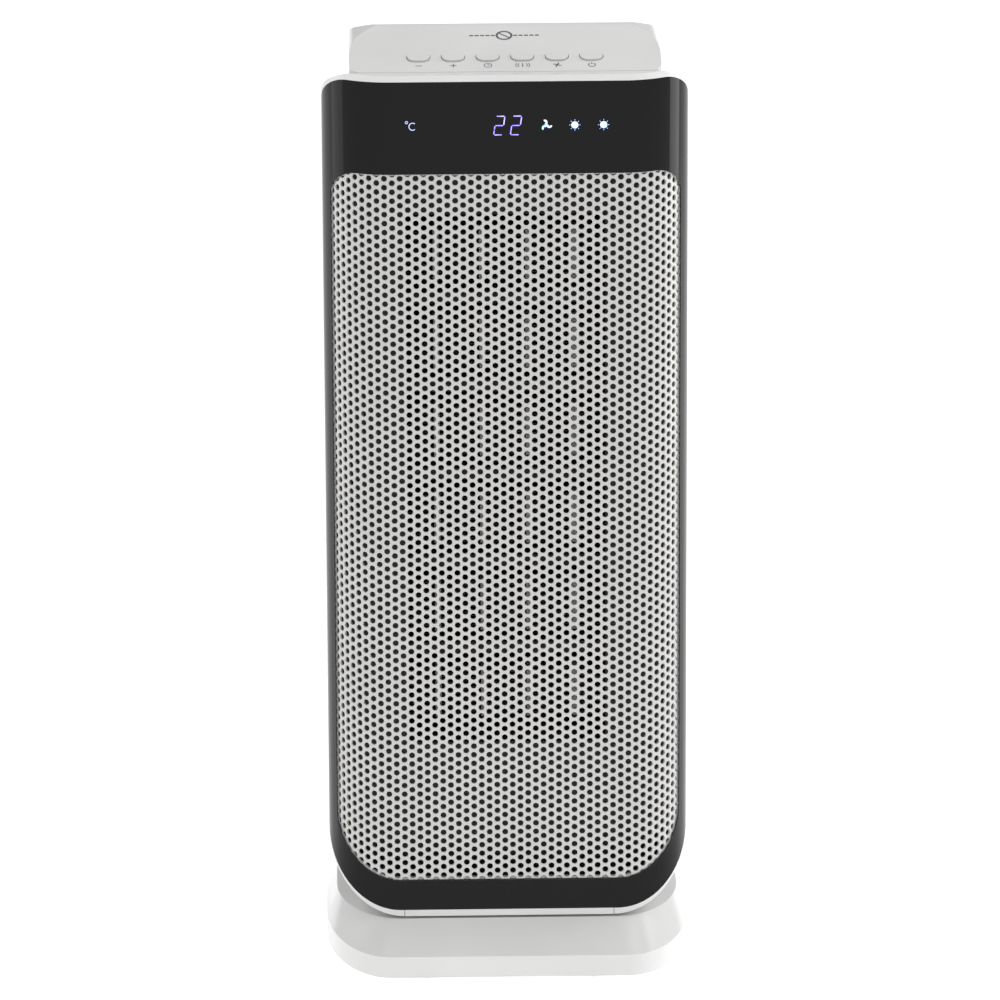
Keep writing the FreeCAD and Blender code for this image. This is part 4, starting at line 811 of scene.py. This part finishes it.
@dataclass
class PunchedGrille:
    """The punched steel sheet over the outlet, bent round both front corners.

    Args:
        across: Distance between columns of holes.
        along: Distance between holes in a column.
        hole: Radius of a hole.
        rim: Width and depth of the eased edge of a hole.
        thickness: Thickness of the sheet.
        flat_half: Half width of the flat stretch between the two bends.
        bend: Outer radius of the bends.
        top_corner: Radius of the upper corners.
        bottom_corner: Radius of the lower corners.
        round_steps: Cuts that make one rounded corner.
    """

    across: float = 3.925 * MM
    along: float = 4.57 * MM
    hole: float = 1.5 * MM
    rim: float = 0.2 * MM
    thickness: float = 1.0 * MM
    flat_half: float = 57.0 * MM
    bend: float = 34.0 * MM
    top_corner: float = 12.8 * MM
    bottom_corner: float = 32.8 * MM
    round_steps: int = 9

    def hexagon(self, bm: bmesh.types.BMesh, depth: float) -> list[bmesh.types.BMEdge]:
        """The edge of one hole's share of the sheet.

        Args:
            bm: The mesh it is added to.
            depth: How far behind the front face it lies.

        Returns:
            Its edges.
        """
        half_along = self.along / 2
        reach = (self.across ** 2 + half_along ** 2) / (2 * self.across)
        shoulder = (self.across ** 2 - half_along ** 2) / (2 * self.across)
        place = Matrix.Translation((0.0, 0.0, depth)) @ Matrix.Rotation(math.radians(30.0), 4, "Z")
        verts = bmesh.ops.create_circle(bm, cap_ends=False, segments=6, radius=1.0, matrix=place)["verts"]
        for vert in verts:
            level = round(vert.co.y / math.sin(math.radians(60.0)))
            vert.co.x = math.copysign(shoulder if level else reach, vert.co.x)
            vert.co.y = level * half_along
        return list({edge for vert in verts for edge in vert.link_edges})

    def circle(self, bm: bmesh.types.BMesh, radius: float, depth: float) -> list[bmesh.types.BMEdge]:
        """One ring of a hole.

        Args:
            bm: The mesh it is added to.
            radius: Its radius.
            depth: How far behind the front face it lies.

        Returns:
            Its edges.
        """
        verts = bmesh.ops.create_circle(bm, cap_ends=False, segments=12, radius=radius,
                                        matrix=Matrix.Translation((0.0, 0.0, depth)))["verts"]
        return list({edge for vert in verts for edge in vert.link_edges})

    def punch_rows(self, low: float, rows: int, columns: int) -> bmesh.types.BMesh:
        """A flat sheet of punched holes, staggered from column to column.

        Args:
            low: Height of the lowest hole's centre.
            rows: Holes in a column.
            columns: Number of columns, which is even.

        Returns:
            The sheet, with X across, Y along and Z the depth behind its front face.
        """
        bm = bmesh.new()
        rings = [
            self.hexagon(bm, 0.0),
            self.circle(bm, self.hole + self.rim, 0.0),
            self.circle(bm, self.hole, self.rim),
            self.circle(bm, self.hole, self.thickness),
            self.hexagon(bm, self.thickness),
        ]
        for outer, inner in zip(rings, rings[1:]):
            bmesh.ops.bridge_loops(bm, edges=[*outer, *inner])
        column = everything(bm)
        for row in range(1, rows):
            copied = bmesh.ops.duplicate(bm, geom=column)["geom"]
            bmesh.ops.translate(bm, verts=verts_of(copied), vec=(0.0, row * self.along, 0.0))
            if row == rows - 1:
                column = everything(bm)
        staggered = bmesh.ops.duplicate(bm, geom=column)["geom"]
        bmesh.ops.translate(bm, verts=verts_of(staggered), vec=(self.across, -self.along / 2, 0.0))
        pair = everything(bm)
        for step in range(1, columns // 2):
            copied = bmesh.ops.duplicate(bm, geom=pair)["geom"]
            bmesh.ops.translate(bm, verts=verts_of(copied), vec=(2 * step * self.across, 0.0, 0.0))
        bmesh.ops.remove_doubles(bm, verts=bm.verts, dist=0.02 * MM)
        bmesh.ops.translate(bm, verts=bm.verts, vec=(-(columns - 1) / 2 * self.across, low, 0.0))
        return bm

    def roll(self, bm: bmesh.types.BMesh, front: float) -> None:
        """Stands the flat sheet up and bends it round both corners.

        Args:
            bm: The flat sheet.
            front: Y of the sheet's front face.
        """
        for vert in bm.verts:
            across, height, depth = vert.co
            over = max(0.0, abs(across) - self.flat_half)
            radius = self.bend - depth
            angle = over / self.bend
            side = math.copysign(min(abs(across), self.flat_half) + radius * math.sin(angle), across)
            vert.co = (side, front + self.bend - radius * math.cos(angle), height)

    @staticmethod
    def trim(bm: bmesh.types.BMesh, point: Vector, outward: Vector) -> None:
        """Cuts the sheet off past a plane and closes the cut strands.

        Args:
            bm: The sheet.
            point: A point of the plane.
            outward: The side that is cut off.
        """
        cut = bmesh.ops.bisect_plane(bm, geom=everything(bm), dist=0.0001 * MM, plane_co=point,
                                     plane_no=outward, clear_outer=True)["geom_cut"]
        bmesh.ops.holes_fill(bm, edges=edges_of(cut), sides=0)

    def cut_outline(self, bm: bmesh.types.BMesh, low: Vector, high: Vector, upper: bool) -> None:
        """Cuts one half of the sheet to its outline.

        Args:
            bm: The bent sheet.
            low: Lowest corner of the half.
            high: Highest corner of the half.
            upper: Whether it is the upper half.
        """
        corner = self.top_corner if upper else self.bottom_corner
        end = high.z if upper else low.z
        rise = 1.0 if upper else -1.0
        for side in (-1.0, 1.0):
            edge = high.x if side > 0 else low.x
            self.trim(bm, Vector((edge, 0.0, 0.0)), Vector((side, 0.0, 0.0)))
            centre = Vector((edge - side * corner, 0.0, end - rise * corner))
            for step in range(self.round_steps):
                turn = math.pi / 2 * (step + 0.5) / self.round_steps
                outward = Vector((side * math.cos(turn), 0.0, rise * math.sin(turn)))
                self.trim(bm, centre + outward * corner, outward)
        self.trim(bm, Vector((0.0, 0.0, high.z)), Vector((0.0, 0.0, 1.0)))
        self.trim(bm, Vector((0.0, 0.0, low.z)), Vector((0.0, 0.0, -1.0)))

    def build(self) -> None:
        """Makes the sheet in a lower and an upper half that meet without a gap."""
        low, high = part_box("front_grille")
        middle = (low.z + high.z) / 2
        sweep = math.asin((high.x - self.flat_half) / self.bend)
        half_length = self.flat_half + self.bend * sweep
        columns = 2 * math.ceil(half_length / self.across + 1)
        first_row = -2
        for upper, (bottom, top) in enumerate(((low.z, middle), (middle, high.z))):
            start = low.z + first_row * self.along
            skipped = math.floor((bottom - low.z) / self.along) if upper else 0
            rows = math.ceil((top - bottom) / self.along) + 5
            bm = self.punch_rows(start + skipped * self.along, rows, columns)
            self.roll(bm, low.y)
            self.cut_outline(bm, Vector((low.x, low.y, bottom)), Vector((high.x, high.y, top)), bool(upper))
            name = "grille_sheet_upper" if upper else "grille_sheet_lower"
            to_piece(bm, name, GRILLE_PAINT, TOWER, 40.0)
        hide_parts("front_grille")


# ---------------------------------------------------------------- heater core


@dataclass
class FinStrips:
    """Corrugated strips that carry the heat off the ceramic bars.

    Args:
        pitch: Height of one fold.
        sheet: Thickness of the strip.
    """

    pitch: float = 1.6 * MM
    sheet: float = 0.12 * MM

    def build(self) -> None:
        """Folds one strip for each place between the bars."""
        bm = bmesh.new()
        for low, high in solid_boxes("fin_packs"):
            size, centre = high - low, (low + high) / 2
            folds = 2 * max(1, round(size.z / self.pitch))
            made = bmesh.ops.create_grid(bm, x_segments=1, y_segments=folds, size=0.5)["verts"]
            for vert in made:
                row = round((vert.co.y + 0.5) * folds)
                side = 0.5 if row % 2 else -0.5
                vert.co = (centre.x + side * (size.x - self.sheet), centre.y + vert.co.x * size.y,
                           centre.z + vert.co.y * (size.z - self.sheet))
        bmesh.ops.solidify(bm, geom=bm.faces[:], thickness=self.sheet)
        piece = to_piece(bm, "fin_strips", SLOT_FINISHES["fin_aluminium"], TOWER, 20.0)
        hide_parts("fin_packs")


# ---------------------------------------------------------------- display


@dataclass
class Display:
    """Lit marks that shine through the black fascia.

    Args:
        digit_width: Width of one digit.
        digit_height: Height of one digit.
        digit_gap: Distance between the digits' middles.
        stroke: Width of a stroke.
        slant: Lean of the digits, in degrees.
        lamp: Radius of a lamp mark's disc.
    """

    digit_width: float = 4.3 * MM
    digit_height: float = 9.4 * MM
    digit_gap: float = 8.3 * MM
    stroke: float = 0.5 * MM
    slant: float = 8.0
    lamp: float = 1.75 * MM

    def place(self, x: float, z: float) -> Matrix:
        """The plane of a mark on the fascia's face, with its X to the right and its Y up."""
        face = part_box("front_fascia")[0].y
        return Matrix.Translation((x, face, z)) @ Matrix.Rotation(math.radians(90.0), 4, "X")

    def digit_two(self, sheet: MarkSheet, x: float) -> None:
        """Adds the five lit bars of a 2.

        Args:
            sheet: The sheet it is drawn on.
            x: Middle of the digit.
        """
        half, quarter = self.digit_width / 2, self.digit_height / 4
        lean = math.tan(math.radians(self.slant))
        flat_bar = self.digit_width - 1.1 * self.stroke
        for level in (-2, 0, 2):
            height = level * quarter
            sheet.bar(Vector((x + height * lean, height, 0.0)), flat_bar, self.stroke, tip=self.stroke * 0.3)
        for side, level in ((1, 1), (-1, -1)):
            height = level * quarter
            sheet.bar(Vector((x + side * half + height * lean, height, 0.0)), 2 * quarter - 0.9 * self.stroke,
                      self.stroke, turn=90.0 - self.slant, tip=self.stroke * 0.3)

    def fan_mark(self, sheet: MarkSheet) -> None:
        """Adds a three-bladed fan."""
        sheet.disc(Vector(), 0.5 * MM)
        for blade in range(3):
            start = 120.0 * blade
            sheet.arc(ray(start) * 1.55 * MM, 0.95 * MM, 0.95 * MM, start - 200.0, 190.0, 12)

    def sun_mark(self, sheet: MarkSheet) -> None:
        """Adds a disc with short rays."""
        sheet.disc(Vector(), self.lamp)
        for number in range(8):
            turn = 45.0 * number
            sheet.bar(ray(turn) * (self.lamp + 0.75 * MM), 0.6 * MM, 0.2 * MM, turn)

    def degree_mark(self, sheet: MarkSheet) -> None:
        """Adds a degree ring and a C."""
        sheet.arc(Vector((-2.1 * MM, 1.9 * MM, 0.0)), 0.6 * MM, 0.26 * MM, steps=16)
        sheet.arc(Vector((0.9 * MM, -0.2 * MM, 0.0)), 1.8 * MM, 0.36 * MM, 50.0, 260.0, 20)

    def build(self) -> None:
        """Draws the digits and the four lamp marks."""
        low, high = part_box("digit_module")
        middle = (low + high) / 2
        digits = MarkSheet()
        for side in (-0.5, 0.5):
            self.digit_two(digits, side * self.digit_gap)
        digits.raise_film("display_digits", self.place(middle.x, middle.z), LIT_DIGIT, TOWER)
        marks = (
            ("display_degree", self.degree_mark, LIT_DEGREE),
            ("display_fan", self.fan_mark, LIT_LAMP),
            ("display_low_heat", self.sun_mark, LIT_LAMP),
            ("display_high_heat", self.sun_mark, LIT_LAMP),
        )
        for (low, high), (name, draw, finish) in zip(solid_boxes("indicator_leds"), marks):
            centre = (low + high) / 2
            sheet = MarkSheet()
            draw(sheet)
            sheet.raise_film(name, self.place(centre.x, centre.z), finish, TOWER)


# ---------------------------------------------------------------- control face


@dataclass
class ControlFace:
    """Printed marks on the sloping face, one before each key and one symbol behind them.

    Args:
        frame_middle: Middle of the key frames, up the slope from the face's front edge.
        frame_width: Width of a key's frame.
        frame_height: Height of a key's frame.
        line: Width of the printed lines.
        symbol_middle: Middle of the round symbol, up the slope.
        symbol_radius: Its radius.
    """

    frame_middle: float = 5.7 * MM
    frame_width: float = 10.7 * MM
    frame_height: float = 6.3 * MM
    line: float = 0.4 * MM
    symbol_middle: float = 33.6 * MM
    symbol_radius: float = 3.7 * MM

    def plane(self) -> tuple[Vector, Vector, Vector]:
        """The face's front edge, the way up its slope and the way out of it."""
        press = next(joint for joint in frame["joints"] if joint["name"] == "key_power_press")
        out = -Vector(press["axis"]).normalized()
        up = Vector((0.0, out.z, -out.y))
        level = max(vert.co.dot(out) for vert in frame["nodes"]["top_cover"].data.vertices)
        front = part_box("top_cover")[0].y
        return Vector((0.0, front, (level - front * out.y) / out.z)), up, out

    def place(self, x: float, distance: float) -> Matrix:
        """The plane of a mark on the face.

        Args:
            x: Its place across the face.
            distance: Its place up the slope.

        Returns:
            A matrix with its X to the right, its Y up the slope and its Z out of the face.
        """
        edge, up, out = self.plane()
        across = Vector((1.0, 0.0, 0.0))
        turned = Matrix((across, up, out)).transposed().to_4x4()
        return Matrix.Translation(edge + across * x + up * distance) @ turned

    def minus(self, sheet: MarkSheet) -> None:
        """Adds the sign for less heat."""
        sheet.bar(Vector(), 3.2 * MM, 0.5 * MM)

    def plus(self, sheet: MarkSheet) -> None:
        """Adds the sign for more heat."""
        sheet.bar(Vector(), 3.2 * MM, 0.5 * MM)
        for side in (-1, 1):
            sheet.bar(Vector((0.0, side * 0.93 * MM, 0.0)), 0.5 * MM, 1.36 * MM)

    def clock(self, sheet: MarkSheet) -> None:
        """Adds a clock."""
        sheet.arc(Vector(), 1.9 * MM, self.line)
        sheet.bar(Vector((0.0, 0.6 * MM, 0.0)), self.line, 1.2 * MM)
        sheet.bar(Vector((0.62 * MM, 0.0, 0.0)), 0.9 * MM, self.line)

    def swing(self, sheet: MarkSheet) -> None:
        """Adds a mark for swinging from side to side."""
        sheet.bar(Vector(), 0.5 * MM, 3.4 * MM)
        for start, sweep in ((-40.0, 80.0), (140.0, 80.0)):
            sheet.arc(Vector(), 2.3 * MM, self.line, start, sweep, 10)
            sheet.arc(Vector(), 3.4 * MM, self.line, start + 8.0, sweep - 16.0, 10)

    def fan(self, sheet: MarkSheet) -> None:
        """Adds a small fan."""
        sheet.disc(Vector(), 0.42 * MM, 14)
        for blade in range(4):
            start = 90.0 * blade
            sheet.arc(ray(start) * 1.3 * MM, 0.7 * MM, 0.62 * MM, start - 200.0, 180.0, 9)

    def power(self, sheet: MarkSheet) -> None:
        """Adds the sign for on and standby."""
        sheet.arc(Vector((0.0, -0.2 * MM, 0.0)), 1.7 * MM, self.line * 1.2, 125.0, 290.0, 22)
        sheet.bar(Vector((0.0, 1.2 * MM, 0.0)), self.line * 1.2, 1.9 * MM)

    def build(self) -> None:
        """Prints each key's frame and sign, then the round symbol with plain dashes beside it."""
        signs = {
            "key_down": self.minus, "key_up": self.plus, "key_timer": self.clock,
            "key_swing": self.swing, "key_mode": self.fan, "key_power": self.power,
        }
        for key, draw in signs.items():
            low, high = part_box(key)
            sheet = MarkSheet()
            sheet.outline(Vector(), self.frame_width, self.frame_height, 1.6 * MM, self.line)
            draw(sheet)
            sheet.raise_film(key + "_print", self.place((low.x + high.x) / 2, self.frame_middle), GREY_INK,
                             TOWER)
        symbol = MarkSheet()
        symbol.arc(Vector(), self.symbol_radius, 1.1 * MM, steps=36)
        symbol.bar(Vector(), 2 * self.symbol_radius - 0.9 * MM, 0.8 * MM, -40.0)
        for side in (-1, 1):
            for dash in range(5):
                out = self.symbol_radius + (1.9 + 2.7 * dash) * MM
                symbol.bar(Vector((side * out, 0.0, 0.0)), 2.0 * MM, 1.1 * MM)
        symbol.raise_film("round_symbol_print", self.place(0.0, self.symbol_middle), GREY_INK, TOWER)


# ---------------------------------------------------------------- studio


@dataclass(frozen=True)
class SoftBox:
    """A soft light.

    Args:
        name: Its name.
        place: Where it hangs.
        width: Its width.
        height: Its height.
        power: Its power in watts.
    """

    name: str
    place: tuple[float, float, float]
    width: float
    height: float
    power: float


LIGHT_AIM = Vector((0.0, 0.0, 0.25))
SOFT_BOXES = (
    SoftBox("overhead", (0.3, -0.3, 2.6), 2.6, 2.6, 25.0),
    SoftBox("left_panel", (-1.7, 0.25, 0.7), 0.9, 1.8, 5.0),
    SoftBox("right_panel", (1.6, 0.35, 0.8), 0.8, 1.8, 13.0),
    SoftBox("front_fill", (0.9, -3.2, 2.4), 1.8, 1.2, 13.0),
)


@dataclass
class Studio:
    """Pale floor, soft lights and the camera.

    Args:
        distance: Camera's distance from the heater's axis, along the floor.
        height: Camera's height.
        round_angle: Its place round the heater, in degrees; 0 is straight in front.
        look_down: Its tilt, in degrees.
        aside: How far the view turns past the axis, in degrees.
        roll: How far the camera leans over, in degrees.
        lens: Its focal length in millimetres.
    """

    distance: float = 3.3715
    height: float = 1.133
    round_angle: float = -1.3
    look_down: float = 15.02
    aside: float = 0.0396
    roll: float = -0.25
    lens: float = 244.8

    def place_camera(self) -> None:
        """Adds the camera."""
        data = bpy.data.cameras.new("camera")
        data.lens = self.lens
        data.sensor_width = 36.0
        data.clip_end = 50.0
        camera = bpy.data.objects.new("camera", data)
        bpy.context.scene.collection.objects.link(camera)
        turn = math.radians(self.round_angle)
        camera.location = (self.distance * math.sin(turn), -self.distance * math.cos(turn), self.height)
        aim = (Matrix.Rotation(turn + math.radians(self.aside), 3, "Z")
               @ Matrix.Rotation(math.radians(90.0 - self.look_down), 3, "X")
               @ Matrix.Rotation(math.radians(self.roll), 3, "Z"))
        camera.rotation_euler = aim.to_euler()
        bpy.context.scene.camera = camera

    def lay_floor(self) -> None:
        """Adds the floor."""
        bm = bmesh.new()
        bmesh.ops.create_circle(bm, cap_ends=True, segments=96, radius=9.0)
        mesh = bpy.data.meshes.new("floor")
        bm.to_mesh(mesh)
        bm.free()
        material = bpy.data.materials.new("floor")
        material.use_nodes = True
        bench = NodeBench(material.node_tree)
        shader = material.node_tree.nodes["Principled BSDF"]
        place = bench.add("ShaderNodeTexCoord").outputs["Object"]
        drift = bench.noise(place, 1.5)
        bench.feed(shader.inputs["Base Color"], bench.blend(drift, (0.93, 0.93, 0.93), (0.95, 0.95, 0.95)))
        shader.inputs["Roughness"].default_value = 0.9
        shader.inputs["Specular IOR Level"].default_value = 0.1
        shader.inputs["Emission Color"].default_value = (1.0, 1.0, 1.0, 1.0)
        shader.inputs["Emission Strength"].default_value = 0.62
        mesh.materials.append(material)
        floor = bpy.data.objects.new("floor", mesh)
        bpy.context.scene.collection.objects.link(floor)

    def hang_light(self, box: SoftBox) -> None:
        """Adds a soft box that faces the heater's middle.

        Args:
            box: The soft box.
        """
        data = bpy.data.lights.new(box.name, "AREA")
        data.shape = "RECTANGLE"
        data.size = box.width
        data.size_y = box.height
        data.energy = box.power
        light = bpy.data.objects.new(box.name, data)
        light.location = box.place
        light.rotation_euler = (LIGHT_AIM - Vector(box.place)).to_track_quat("-Z", "Y").to_euler()
        bpy.context.scene.collection.objects.link(light)

    def light_world(self) -> None:
        """Sets the even light that comes from all round."""
        world = bpy.data.worlds.new("studio")
        world.use_nodes = True
        ground = world.node_tree.nodes["Background"]
        ground.inputs["Color"].default_value = (1.0, 1.0, 1.0, 1.0)
        ground.inputs["Strength"].default_value = 0.45
        bpy.context.scene.world = world

    def build(self) -> None:
        """Sets up floor, lights, world and camera."""
        self.lay_floor()
        self.light_world()
        for box in SOFT_BOXES:
            self.hang_light(box)
        self.place_camera()
        bpy.context.scene.view_settings.view_transform = "Standard"


# ---------------------------------------------------------------- whole heater


@dataclass
class Heater:
    """The whole heater: its new pieces and the finish of every CAD node that still shows."""

    def dress_nodes(self) -> None:
        """Gives every CAD node the finish of its material slot."""
        for name, node in frame["nodes"].items():
            for slot in node.material_slots:
                slot.material = SLOT_FINISHES[slot.material.name.split(".")[0]].material()
            log.info("%s dressed", name)

    def build(self) -> None:
        """Builds the sub-assemblies in order."""
        self.dress_nodes()
        PunchedGrille().build()
        FinStrips().build()
        Display().build()
        ControlFace().build()


def main() -> None:
    """Builds the heater and its studio."""
    logging.basicConfig(level=logging.INFO, format="%(name)s: %(message)s")
    Heater().build()
    Studio().build()


if __name__ == "__main__":
    main()
